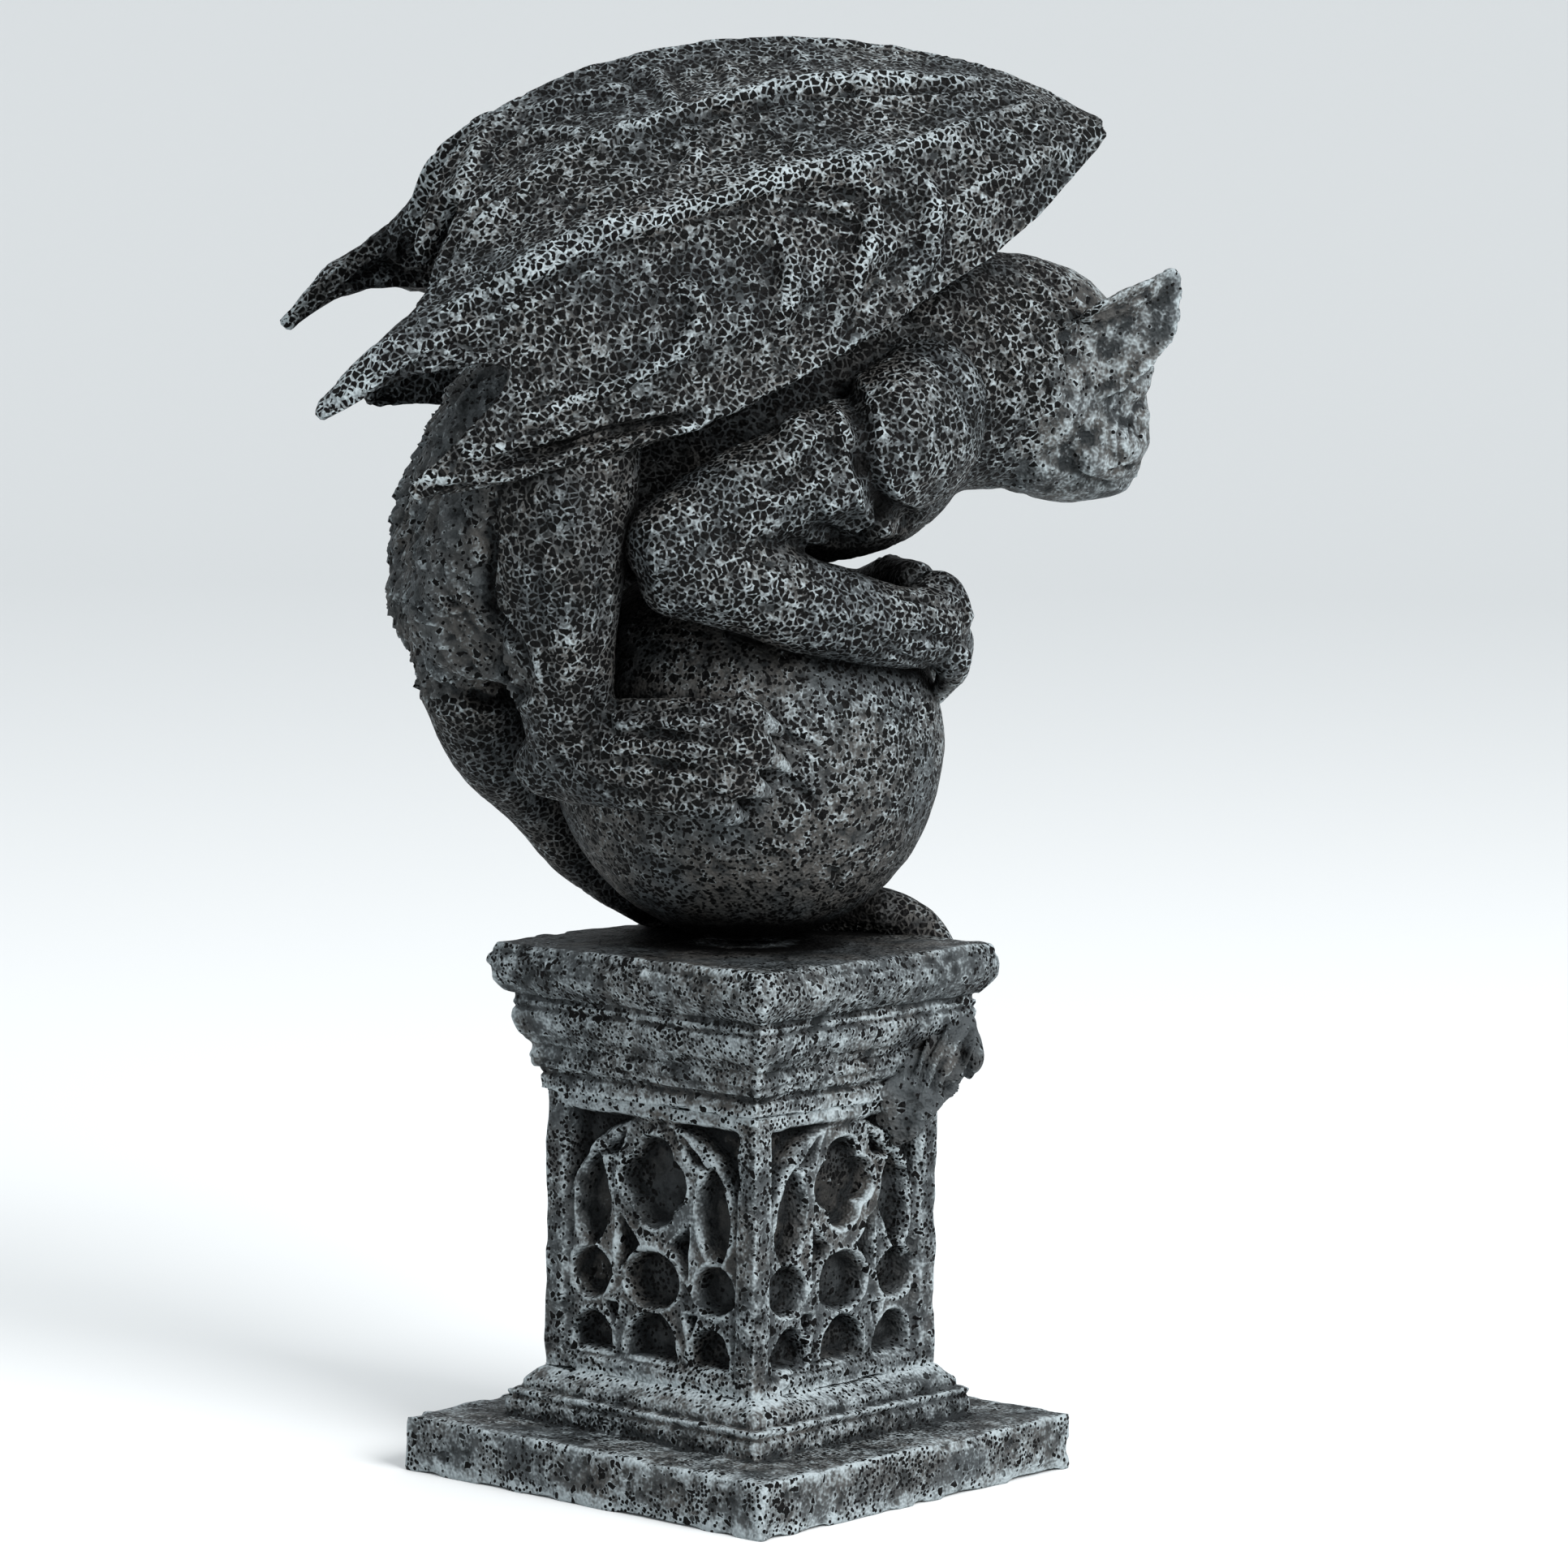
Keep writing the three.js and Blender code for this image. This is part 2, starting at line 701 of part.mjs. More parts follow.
// Geometry of a solid.
function geometryOf(body) {
  const mesh = body.getMesh();
  const positions = new Float32Array(mesh.numVert * 3);
  for (let i = 0; i < mesh.numVert; i++) {
    positions.set(mesh.vertProperties.subarray(i * mesh.numProp, i * mesh.numProp + 3), i * 3);
  }
  return new THREE.BufferGeometry()
    .setAttribute("position", new THREE.BufferAttribute(positions, 3))
    .setIndex(new THREE.BufferAttribute(new Uint32Array(mesh.triVerts), 1));
}

// Tail: down behind the globe, round its far side on the cap, over the edge and back under the corner.
function tailSolid() {
  const turn = figureTurn * DEG;
  const fromFigure = (x, y, z, half) => [
    grow * (x * Math.cos(turn) - y * Math.sin(turn)),
    grow * (x * Math.sin(turn) + y * Math.cos(turn)),
    globeMiddle + z * grow,
    half * grow,
  ];
  const edge = capSide / 2;
  const rest = capTop + tailHalf * 0.8;
  const path = limb(
    [
      fromFigure(-41, 0, 9, 8.2),
      fromFigure(-37.6, 4, 0, 7),
      fromFigure(-30.4, 10.4, -8, 5.5),
      fromFigure(-21.4, 15.5, -17.7, 5),
      [-0.817 * edge, -0.046 * edge, capTop + 6.6 * grow, 1.21 * tailHalf],
      [-0.776 * edge, 0.213 * edge, rest + 0.4 * grow, 1.13 * tailHalf],
      [-0.475 * edge, 0.57 * edge, rest, tailHalf],
      [-0.095 * edge, 0.745 * edge, rest, tailHalf],
      [0.266 * edge, 0.905 * edge, rest, tailHalf],
      [0.475 * edge, edge + 0.37 * tailHalf, capTop - 0.2 * capRise, tailHalf],
      [0.608 * edge, edge + 0.32 * tailHalf, capTop - 1.18 * capRise, 0.95 * tailHalf],
      [0.783 * edge, 0.94 * edge, ovoloTop - 0.82 * ovoloRise, 0.9 * tailHalf],
      [0.924 * edge, 0.852 * edge, beadTop - 0.55 * beadRise, 0.84 * tailHalf],
    ],
    { sides: 6, startRound: 0, endRound: 0 },
  );
  const tuft = [];
  for (let lock = 0; lock < 5; lock++) {
    const low = lock * 0.73 * tuftHalf;
    tuft.push(
      limb(
        [
          [edge - 1.3 * tuftHalf, edge * (0.875 - lock * 0.034), beadTop + 3 * grow - low, tuftHalf],
          [edge - 1.04 * tuftHalf, edge * (0.593 - lock * 0.015), bandTop + 3 * grow - low, tuftHalf],
          [
            shaftSide / 2 + 0.15 * tuftHalf,
            edge * (0.266 + lock * 0.034),
            shaftTop + grow - low,
            tuftHalf * 0.45,
          ],
        ],
        { sides: 5, startRound: 0 },
      ),
    );
  }
  // Body of the tuft, which backs its locks against the shaft.
  const backing = limb(
    [
      [shaftSide / 2, 0.646 * edge, bandTop - 0.4 * tuftHalf, tuftHalf * 1.1],
      [shaftSide / 2 - 0.23 * tuftHalf, 0.361 * edge, shaftTop - 1.15 * tuftHalf, tuftHalf * 0.9],
    ],
    { sides: 5 },
  );
  return fuse([path, backing, ...tuft]);
}

const castStone = new THREE.MeshStandardMaterial({ color: 0x3b4145, roughness: 0.86, metalness: 0 });
castStone.name = "cast_stone";

const whole = plinthSolid().add(globeSolid()).add(figureSolid()).add(tailSolid());
const statue = new THREE.Mesh(geometryOf(whole), castStone);
statue.name = "gargoyle_statue";

const part = new THREE.Group();
part.add(statue);
export default part;
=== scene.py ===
"""Looks of the winged gargoyle on its globe and plinth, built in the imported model's frame.

Forms are worked out in millimetres. The figure's own frame has x ahead, y to its left and z up, from the
globe's middle. Carving follows strokes that are drawn on the photograph's view of the near side and laid on
the surface.
"""

import logging
import math
from dataclasses import dataclass, field
from enum import Enum

import bpy
import numpy as np
from mathutils import Matrix, Vector
from mathutils.bvhtree import BVHTree


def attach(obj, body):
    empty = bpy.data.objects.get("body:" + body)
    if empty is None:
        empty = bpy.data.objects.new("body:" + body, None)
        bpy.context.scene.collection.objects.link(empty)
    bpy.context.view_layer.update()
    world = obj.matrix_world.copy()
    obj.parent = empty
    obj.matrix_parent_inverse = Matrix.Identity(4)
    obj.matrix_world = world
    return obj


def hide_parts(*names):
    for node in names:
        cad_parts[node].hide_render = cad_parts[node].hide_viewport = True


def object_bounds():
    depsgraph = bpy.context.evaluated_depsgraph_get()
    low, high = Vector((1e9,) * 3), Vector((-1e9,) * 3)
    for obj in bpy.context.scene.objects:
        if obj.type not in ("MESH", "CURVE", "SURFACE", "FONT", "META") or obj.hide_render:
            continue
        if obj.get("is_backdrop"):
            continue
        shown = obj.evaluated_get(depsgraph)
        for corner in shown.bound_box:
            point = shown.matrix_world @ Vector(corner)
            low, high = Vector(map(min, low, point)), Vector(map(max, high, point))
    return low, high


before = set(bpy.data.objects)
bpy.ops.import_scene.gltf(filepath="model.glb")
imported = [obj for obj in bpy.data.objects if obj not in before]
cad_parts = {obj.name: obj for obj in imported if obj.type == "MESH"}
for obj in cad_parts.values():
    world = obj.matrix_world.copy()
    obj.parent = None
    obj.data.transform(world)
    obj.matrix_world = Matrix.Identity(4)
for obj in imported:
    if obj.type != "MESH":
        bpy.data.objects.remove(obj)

LOG = logging.getLogger("gargoyle")
Array = np.ndarray
MM = 0.001
NODE = "gargoyle_statue"
UP = (0.0, 0.0, 1.0)
AHEAD = (1.0, 0.0, 0.0)

# Heights of the courses and the globe's middle, from the ground, and the figure's turn from the X side.
STEP_TOP = 12.6
SHAFT_FOOT = 16.2
SHAFT_TOP = 57.6
BAND_TOP = 61.0
BEAD_TOP = 64.6
OVOLO_TOP = 71.3
NECK_TOP = 72.2
CAP_TOP = 79.8
GLOBE_RADIUS = 29.2
GLOBE_MIDDLE = 109.4
FIGURE_TURN = math.radians(53.0)
HEAD_TURN = math.radians(20.0)
HEAD_SEAT = (46.5, 1.5, 51.0)

# Limbs: rings for each span, how far an end is rounded as a share of its half, and a rounded end's rings.
RINGS = 6
ROUND_END = 0.8
END_RINGS = (0.92, 0.7, 0.36)
# How far a stroke reaches to each side, in half widths, and the longest step along it, in millimetres.
STROKE_REACH = 2.4
STROKE_STEP = 6.0

# The camera's sensor, in millimetres.
SENSOR = 36.0
# Rounds of smoothing that part fine relief from broad, and broad from the form, and full relief in millimetres.
FINE_ROUNDS, BROAD_ROUNDS = 3, 26
FULL_FINE, FULL_BROAD = 0.05, 0.35

# What the finish takes where a skin has no layer of its own.
USUAL = {"fine": 0.0, "broad": 0.0, "pits": 1.0, "pores": 0.3, "dry_brush_and_painted_light": 1.0, "painted_shade_free": 1.0}


def placed(name: str, data: bpy.types.ID) -> bpy.types.Object:
    """A new object in the scene."""
    new = bpy.data.objects.new(name, data)
    bpy.context.scene.collection.objects.link(new)
    return new


def turned(points: Array, angle: float) -> Array:
    """Points turned about the vertical by an angle in radians."""
    c, s = math.cos(angle), math.sin(angle)
    return points @ np.array([[c, s, 0.0], [-s, c, 0.0], [0.0, 0.0, 1.0]])


def to_world(points: Array) -> Array:
    """Points of the figure's frame, in the row frame, in millimetres."""
    return turned(np.asarray(points, float), FIGURE_TURN) + (0.0, 0.0, GLOBE_MIDDLE)


def to_figure(points: Array) -> Array:
    """Points of the row frame, in the figure's frame."""
    return turned(np.asarray(points, float) - (0.0, 0.0, GLOBE_MIDDLE), -FIGURE_TURN)


def unit(vectors: Array) -> Array:
    """Vectors at length one."""
    return vectors / np.maximum(np.linalg.norm(vectors, axis=-1, keepdims=True), 1e-9)


def ease(low: float, high: float, value: Array) -> Array:
    """A smooth step from 0 at low to 1 at high."""
    t = np.clip((value - low) / (high - low), 0.0, 1.0)
    return t * t * (3.0 - 2.0 * t)


def curve(points: Array, shares: Array) -> tuple[Array, Array]:
    """Centripetal Catmull-Rom curve through points.

    Args:
        points: the points that the curve passes, N by 3.
        shares: where along the curve, from 0 to 1, each segment counting alike.

    Returns:
        The places and the directions there.
    """
    points = np.asarray(points, float)
    spans = len(points) - 1
    padded = np.vstack([2 * points[0] - points[1], points, 2 * points[-1] - points[-2]])
    x = np.asarray(shares, float) * spans
    i = np.clip(np.floor(x).astype(int), 0, spans - 1)
    w = (x - i)[:, None]
    p0, p1, p2, p3 = (padded[i + k] for k in range(4))
    d1 = np.sqrt(np.linalg.norm(p2 - p1, axis=1))
    d1 = np.where(d1 < 1e-4, 1.0, d1)
    d0 = np.sqrt(np.linalg.norm(p1 - p0, axis=1))
    d0 = np.where(d0 < 1e-4, d1, d0)
    d2 = np.sqrt(np.linalg.norm(p3 - p2, axis=1))
    d2 = np.where(d2 < 1e-4, d1, d2)
    d0, d1, d2 = d0[:, None], d1[:, None], d2[:, None]
    t1 = ((p1 - p0) / d0 - (p2 - p0) / (d0 + d1) + (p2 - p1) / d1) * d1
    t2 = ((p2 - p1) / d1 - (p3 - p1) / (d1 + d2) + (p3 - p2) / d2) * d1
    c2 = -3 * p1 + 3 * p2 - 2 * t1 - t2
    c3 = 2 * p1 - 2 * p2 + t1 + t2
    place = p1 + t1 * w + c2 * w**2 + c3 * w**3
    return place, unit(t1 + 2 * c2 * w + 3 * c3 * w**2)


def hashed(cells: Array, seed: int) -> Array:
    """Three repeatable numbers from 0 to 1 for each whole-number cell."""
    a = cells.astype(np.uint64)
    x = a[..., 0] * np.uint64(73856093) ^ a[..., 1] * np.uint64(19349663) ^ a[..., 2] * np.uint64(83492791)
    out = []
    for k in range(3):
        v = (x + np.uint64(seed * 7919 + k * 104729)) * np.uint64(2654435761)
        v = (v ^ (v >> np.uint64(16))) & np.uint64(0xFFFFFFFF)
        v = (v * np.uint64(2246822519)) & np.uint64(0xFFFFFFFF)
        v = v ^ (v >> np.uint64(13))
        out.append((v & np.uint64(0xFFFFFF)).astype(float) / 0xFFFFFF)
    return np.stack(out, axis=-1)


def nearest(points: Array, cell: float, seed: int) -> Array:
    """Offsets from the nearest of scattered points, in cells, as in a cellular pattern."""
    q = points / cell + 1000.0
    base = np.floor(q)
    best = np.full(len(q), 9.0)
    offset = np.zeros_like(q)
    for dx in (-1, 0, 1):
        for dy in (-1, 0, 1):
            for dz in (-1, 0, 1):
                at = base + (dx, dy, dz)
                away = q - at - hashed(at, seed)
                far = (away**2).sum(axis=1)
                nearer = far < best
                best[nearer] = far[nearer]
                offset[nearer] = away[nearer]
    return offset


def clumps(points: Array, cell: float, seed: int) -> Array:
    """Distance to the nearest of scattered points, in cells."""
    return np.linalg.norm(nearest(points, cell, seed), axis=1)


def waves(points: Array, size: float, seed: int) -> Array:
    """Smooth value noise from -1 to 1 with bumps of the given size."""
    q = points / size + 1000.0
    base = np.floor(q)
    f = q - base
    f = f * f * (3 - 2 * f)
    total = np.zeros(len(q))
    for dx in (0, 1):
        for dy in (0, 1):
            for dz in (0, 1):
                weight = np.abs(1 - dx - f[:, 0]) * np.abs(1 - dy - f[:, 1]) * np.abs(1 - dz - f[:, 2])
                total += weight * hashed(base + (dx, dy, dz), seed)[:, 0]
    return 2 * total - 1


@dataclass(frozen=True)
class PhotoView:
    """The camera that took the photograph, fitted to the plinth's corners. Millimetres and pixels."""

    azimuth: float = math.radians(41.03)
    pitch: float = math.radians(5.794)
    roll: float = math.radians(0.70)
    distance: float = 931.6
    focal: float = 7726.0
    side: float = 1932.0
    shift: float = -46.0
    aim_height: float = 103.4

    def axes(self) -> tuple[Array, Array, Array]:
        """The camera's right, up and forward directions before its roll."""
        ca, sa = math.cos(self.azimuth), math.sin(self.azimuth)
        cp, sp = math.cos(self.pitch), math.sin(self.pitch)
        right = np.array([ca, sa, 0.0])
        away = np.array([-sa, ca, 0.0])
        return right, away * sp + np.array([0, 0, cp]), away * cp - np.array([0, 0, sp])

    def place(self) -> Array:
        """Where the camera stands."""
        return np.array([0.0, 0.0, self.aim_height]) - self.axes()[2] * self.distance

    def ray(self, x: float, y: float) -> Array:
        """Direction from the camera through a pixel of the photograph."""
        right, up, forward = self.axes()
        dx, dy = x - self.side / 2 - self.shift, y - self.side / 2
        c, s = math.cos(self.roll), math.sin(self.roll)
        return unit(right * (c * dx + s * dy) / self.focal - up * (c * dy - s * dx) / self.focal + forward)

    def project(self, points: Array) -> Array:
        """Pixels of points in the row frame."""
        right, up, forward = self.axes()
        v = points - self.place()
        depth = v @ forward
        x, y = self.focal * (v @ right) / depth, -self.focal * (v @ up) / depth
        c, s = math.cos(self.roll), math.sin(self.roll)
        middle = self.side / 2
        return np.stack([middle + self.shift + c * x - s * y, middle + s * x + c * y], axis=1)


VIEW = PhotoView()


@dataclass
class Shell:
    """A closed surface: points and faces."""

    points: Array
    faces: list[tuple[int, ...]]

    def moved(self, turn: float, seat: tuple[float, float, float]) -> "Shell":
        """The shell turned about the vertical and then moved."""
        return Shell(turned(self.points, turn) + seat, self.faces)


def ringed(rings: list[Array], start: Array, end: Array) -> Shell:
    """A closed shell through rings of points that run alike, with a pole at each end."""
    sides = len(rings[0])
    points = np.vstack([start, *rings, end])
    final = len(points) - 1
    faces: list[tuple[int, ...]] = []
    for i in range(sides):
        j = (i + 1) % sides
        faces.append((0, 1 + j, 1 + i))
        faces.append((final, final - sides + i, final - sides + j))
    for r in range(len(rings) - 1):
        a, b = 1 + r * sides, 1 + (r + 1) * sides
        faces += [(a + i, a + (i + 1) % sides, b + (i + 1) % sides, b + i) for i in range(sides)]
    return Shell(points, faces)


def limb(
    stations: list[tuple[float, ...]],
    sides: int = 18,
    up: tuple[float, float, float] = UP,
    end: float = ROUND_END,
) -> Shell:
    """A tube of ellipses along a smooth curve, with round ends.

    Args:
        stations: x, y, z, half across and half deep.
        sides: points in each ring.
        up: the direction that the deep side keeps to.
        end: how far the last end is rounded, as a share of its half.

    Returns:
        The closed shell.
    """
    rows = np.array([(*s[:4], s[4] if len(s) > 4 else s[3]) for s in stations], float)
    shares = np.linspace(0.0, 1.0, (len(rows) - 1) * RINGS + 1)
    place, along = curve(rows[:, :3], shares)
    half, _ = curve(np.column_stack([rows[:, 3:5], np.zeros(len(rows))]), shares)
    across = unit(np.cross(along, up))
    deep = unit(np.cross(across, along))
    turn = np.linspace(0, 2 * np.pi, sides, endpoint=False)

    def ring(k: int, shrink: float, shift: float) -> Array:
        """One ring at row k, shrunk and shifted along the limb."""
        middle = place[k] + along[k] * shift
        return (
            middle
            + np.outer(np.cos(turn) * half[k, 0] * shrink, across[k])
            + np.outer(np.sin(turn) * half[k, 1] * shrink, deep[k])
        )

    first, last = ROUND_END * half[0, 0], end * half[-1, 0]
    rings = [
        *(ring(0, math.sqrt(1 - k * k), -k * first) for k in END_RINGS),
        *(ring(k, 1.0, 0.0) for k in range(len(shares))),
        *(ring(-1, math.sqrt(1 - k * k), k * last) for k in reversed(END_RINGS)),
    ]
    return ringed(rings, place[0] - along[0] * first, place[-1] + along[-1] * last)


def ring_quads(rows: int, count: int) -> Array:
    """Quads between rings of so many points that follow each other."""
    r, i = np.meshgrid(np.arange(rows - 1), np.arange(count), indexing="ij")
    a, b = r * count, (r + 1) * count
    j = (i + 1) % count
    return np.stack([a + i, a + j, b + j, b + i], axis=-1).reshape(-1, 4)


def on_globe(side: float, turn: float, rise: float, off: float) -> tuple[float, float, float]:
    """A point over the globe's skin, by its turn from straight ahead and its height angle, in degrees."""
    reach = GLOBE_RADIUS + off
    t, r = math.radians(turn), math.radians(rise)
    return (reach * math.cos(r) * math.cos(t), side * reach * math.cos(r) * math.sin(t), reach * math.sin(r))


@dataclass(frozen=True)
class Stroke:
    """One stroke of the chisel or of added clay, along pixels of the photograph.

    Args:
        path: the pixels that it passes.
        width: its half width in millimetres.
        height: how far it stands out, or below 0 how deep it cuts.
        lip: how far its edges are pushed up or down, as a share of the height.
    """

    path: tuple[tuple[float, float], ...]
    width: float
    height: float
    lip: float = 0.0


class Skin:
    """One closed mesh of the sculpture while it is worked, in millimetres in the row frame."""

    def __init__(self, points: Array, quads: Array) -> None:
        """Takes the points and the faces, a triangle being a quad whose last two corners are one."""
        self.points = np.asarray(points, float)
        self.quads = np.asarray(quads, dtype=np.int64)
        self.layers: dict[str, Array] = {}

    def normals(self) -> Array:
        """Outward directions at the points."""
        p, q = self.points, self.quads
        n = np.cross(p[q[:, 2]] - p[q[:, 0]], p[q[:, 3]] - p[q[:, 1]])
        total = np.zeros_like(p)
        for k in range(3):
            for c in range(4):
                total[:, k] += np.bincount(q[:, c], n[:, k], len(p))
        return unit(total)

    def blurred(self, values: Array, rounds: int, share: float = 0.5) -> Array:
        """Values averaged with their neighbours' a number of times."""
        q, n = self.quads, len(self.points)
        one = q[:, 2] != q[:, 3]
        pairs = [(q[:, 0], q[:, 1]), (q[:, 1], q[:, 2]), (q[one, 2], q[one, 3]), (q[:, 3], q[:, 0])]
        a = np.concatenate([x for x, _ in pairs] + [y for _, y in pairs])
        b = np.concatenate([y for _, y in pairs] + [x for x, _ in pairs])
        count = np.maximum(np.bincount(a, minlength=n), 1)
        flat = values.ndim == 1
        values = values[:, None].copy() if flat else values.copy()
        for _ in range(rounds):
            for k in range(values.shape[1]):
                mean = np.bincount(a, values[b, k], n) / count
                values[:, k] += share * (mean - values[:, k])
        return values[:, 0] if flat else values

    def smooth(self, rounds: int) -> None:
        """Rounds the form off while it keeps its bulk."""
        for _ in range(rounds):
            self.points = self.blurred(self.points, 1, 0.6)
            self.points = self.blurred(self.points, 1, -0.62)

    def faces(self) -> list[list[int]]:
        """The faces as lists of three or four corners."""
        return [q if q[2] != q[3] else q[:3] for q in self.quads.tolist()]

    def tree(self) -> BVHTree:
        """The mesh as a search tree."""
        return BVHTree.FromPolygons(self.points.tolist(), self.faces())

    def raise_by(self, height: Array) -> None:
        """Moves the points out by their heights."""
        self.points = self.points + self.normals() * height[:, None]

    def near_frame(self, lift: float = 0.0) -> Array:
        """The points in the figure's frame, with its left side mirrored onto its right."""
        p = to_figure(self.points)
        if lift:
            p = p - wing_rise(p, lift)
        p[:, 1] = -np.abs(p[:, 1])
        return p

    def carve(
        self, strokes: tuple[Stroke, ...], near: "Skin | None" = None, lift: float = 0.0, mirror: bool = True
    ) -> None:
        """Lays strokes on the near side, and the same on the far side.

        Args:
            strokes: the strokes to lay.
            near: the skin that the photograph shows, where it isn't this one.
            lift: how far a far wing stands above the near one's mirror image.
            mirror: whether the far side gets the strokes too.
        """
        tree = (near or self).tree()
        eye = Vector(VIEW.place())
        p = self.near_frame(lift) if mirror else to_figure(self.points)
        height = np.zeros(len(p))
        for stroke in strokes:
            path = np.array(stroke.path, float)
            marks = curve(np.column_stack([path, np.zeros(len(path))]), np.linspace(0, 1, 10 * len(path)))[0]
            hits = []
            for x, y, _ in marks:
                hit = tree.ray_cast(eye, Vector(VIEW.ray(x, y)))
                if hit[0] is not None:
                    hits.append(hit[0])
            if len(hits) < 2:
                LOG.warning("a stroke from %s misses", stroke.path[0])
                continue
            line = to_figure(np.array(hits))
            reach = STROKE_REACH * stroke.width
            low, high = line.min(axis=0) - reach, line.max(axis=0) + reach
            close = np.where(((p > low) & (p < high)).all(axis=1))[0]
            if len(close) == 0:
                continue
            q = p[close]
            best = np.full(len(q), 1e9)
            share = np.zeros(len(q))
            a, b = line[:-1], line[1:]
            for k in range(len(a)):
                ab = b[k] - a[k]
                long = float(ab @ ab)
                if long > STROKE_STEP**2 or long < 1e-9:
                    continue
                t = np.clip((q - a[k]) @ ab / long, 0, 1)
                d = ((q - a[k] - t[:, None] * ab) ** 2).sum(axis=1)
                nearer = d < best
                best[nearer] = d[nearer]
                share[nearer] = (k + t[nearer]) / len(a)
            r = np.sqrt(best) / stroke.width
            taper = np.sqrt(np.clip(1 - np.abs(2 * share - 1) ** 3, 0, 1))
            shape = np.exp(-(r**2)) - stroke.lip * np.exp(-((r - 1.5) ** 2) * 4)
            height[close] += stroke.height * taper * shape * (r < STROKE_REACH)
        self.raise_by(height)

    def finish_layers(self) -> None:
        """Works out where the surface stands out or sinks, finely and broadly."""
        n = self.normals()
        fine = self.blurred(self.points, FINE_ROUNDS)
        broad = self.blurred(fine, BROAD_ROUNDS)
        self.layers["fine"] = ((self.points - fine) * n).sum(axis=1) / FULL_FINE
        self.layers["broad"] = ((fine - broad) * n).sum(axis=1) / FULL_BROAD

    def dress(self, name: str, material: bpy.types.Material) -> None:
        """Makes the skin a piece in metres, which rides on the root and stands for the CAD node.

        Args:
            name: the piece's name.
            material: its finish.
        """
        self.finish_layers()
        mesh = bpy.data.meshes.new(name)
        faces = self.faces()
        mesh.from_pydata((self.points * MM).tolist(), [], faces)
        mesh.polygons.foreach_set("use_smooth", [True] * len(mesh.polygons))
        for key in USUAL:
            values = self.layers.get(key, np.full(len(self.points), USUAL[key]))
            layer = mesh.attributes.new(key, "FLOAT", "POINT")
            layer.data.foreach_set("value", np.clip(values, -4, 4).astype(np.float32))
        mesh.update()
        mesh.materials.append(material)
        piece = placed(name, mesh)
        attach(piece, "root")
        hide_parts(NODE)
        LOG.info("%s: %d points, %d faces", name, len(self.points), len(faces))


def joined(parts: list[tuple[Array, list]]) -> tuple[list, list]:
    """Points and faces of several surfaces as those of one."""
    points, faces, base = [], [], 0
    for own, corners in parts:
        points += own.tolist()
        faces += [tuple(base + i for i in face) for face in corners]
        base += len(own)
    return points, faces


class Clay:
    """Shells in the figure's frame that are pressed into one skin."""

    def __init__(self) -> None:
        """Starts with no shells."""
        self.shells: list[Shell] = []

    def add(self, *shells: Shell) -> None:
        """Adds shells."""
        self.shells += shells

    def skin(self, voxel: float, rounds: int) -> Skin:
        """Presses the shells together.

        Args:
            voxel: the grain of the skin, in millimetres.
            rounds: how many times it is smoothed.

        Returns:
            The skin.
        """
        points, faces = joined([(to_world(shell.points), shell.faces) for shell in self.shells])
        mesh = bpy.data.meshes.new("clay")
        mesh.from_pydata(points, [], faces)
        lump = placed("clay", mesh)
        press = lump.modifiers.new("press", "REMESH")
        press.mode = "VOXEL"
        press.voxel_size = voxel
        graph = bpy.context.evaluated_depsgraph_get()
        made = bpy.data.meshes.new_from_object(lump.evaluated_get(graph))
        count = len(made.vertices)
        co = np.empty(count * 3)
        made.vertices.foreach_get("co", co)
        corners = np.empty(len(made.loops), dtype=np.int32)
        made.loops.foreach_get("vertex_index", corners)
        totals = np.empty(len(made.polygons), dtype=np.int32)
        made.polygons.foreach_get("loop_total", totals)
        starts = np.empty(len(made.polygons), dtype=np.int32)
        made.polygons.foreach_get("loop_start", starts)
        last = np.minimum(3, totals - 1)
        quads = np.stack([corners[starts + np.minimum(k, last)] for k in range(4)], axis=1)
        bpy.data.objects.remove(lump)
        bpy.data.meshes.remove(mesh)
        bpy.data.meshes.remove(made)
        skin = Skin(co.reshape(-1, 3), quads)
        skin.smooth(rounds)
        return skin


def cup(
    stations: list[tuple[float, ...]], side: float, up: tuple[float, float, float], thick: float
) -> Shell:
    """A leaf that is hollow towards its own side of the head.

    Args:
        stations: x, y, z, how deep the hollow is and half of the leaf's width.
        side: 1 for the left ear and -1 for the right one.
        up: the direction that the leaf's width keeps to.
        thick: the leaf's wall.

    Returns:
        The closed shell.
    """
    rows = np.array(stations, float)
    shares = np.linspace(0.0, 1.0, 22)
    place, along = curve(rows[:, :3], shares)
    half, _ = curve(np.column_stack([rows[:, 3:5], np.zeros(len(rows))]), shares)
    across = unit(np.cross(along, up))
    deep = unit(np.cross(across, along))
    across *= np.sign(across[:, 1:2] * side)
    u = np.linspace(-1, 1, 13)
    rings = []
    for k in range(len(shares)):
        bowl = np.outer(half[k, 0] * (u**2 - 0.35), across[k])
        line = place[k] + np.outer(u * half[k, 1], deep[k]) + bowl
        wall = across[k] * thick / 2
        rings.append(np.vstack([line + wall, (line - wall)[::-1]]))
    return ringed(rings, rings[0].mean(axis=0), rings[-1].mean(axis=0) + along[-1] * 0.8)


def weather(skin: Skin, depth: float, seed: int) -> None:
    """Uneven casting: soft swells and small dents.

    Args:
        skin: what is weathered.
        depth: how far the swells stand out, in millimetres.
        seed: which pattern.
    """
    p = skin.points
    height = depth * waves(p, 4.2, seed) + 0.6 * depth * waves(p, 1.9, seed + 1)
    dents = ease(0.40, 0.22, clumps(p, 1.7, seed + 2))
    skin.raise_by(height - 0.9 * depth * dents)


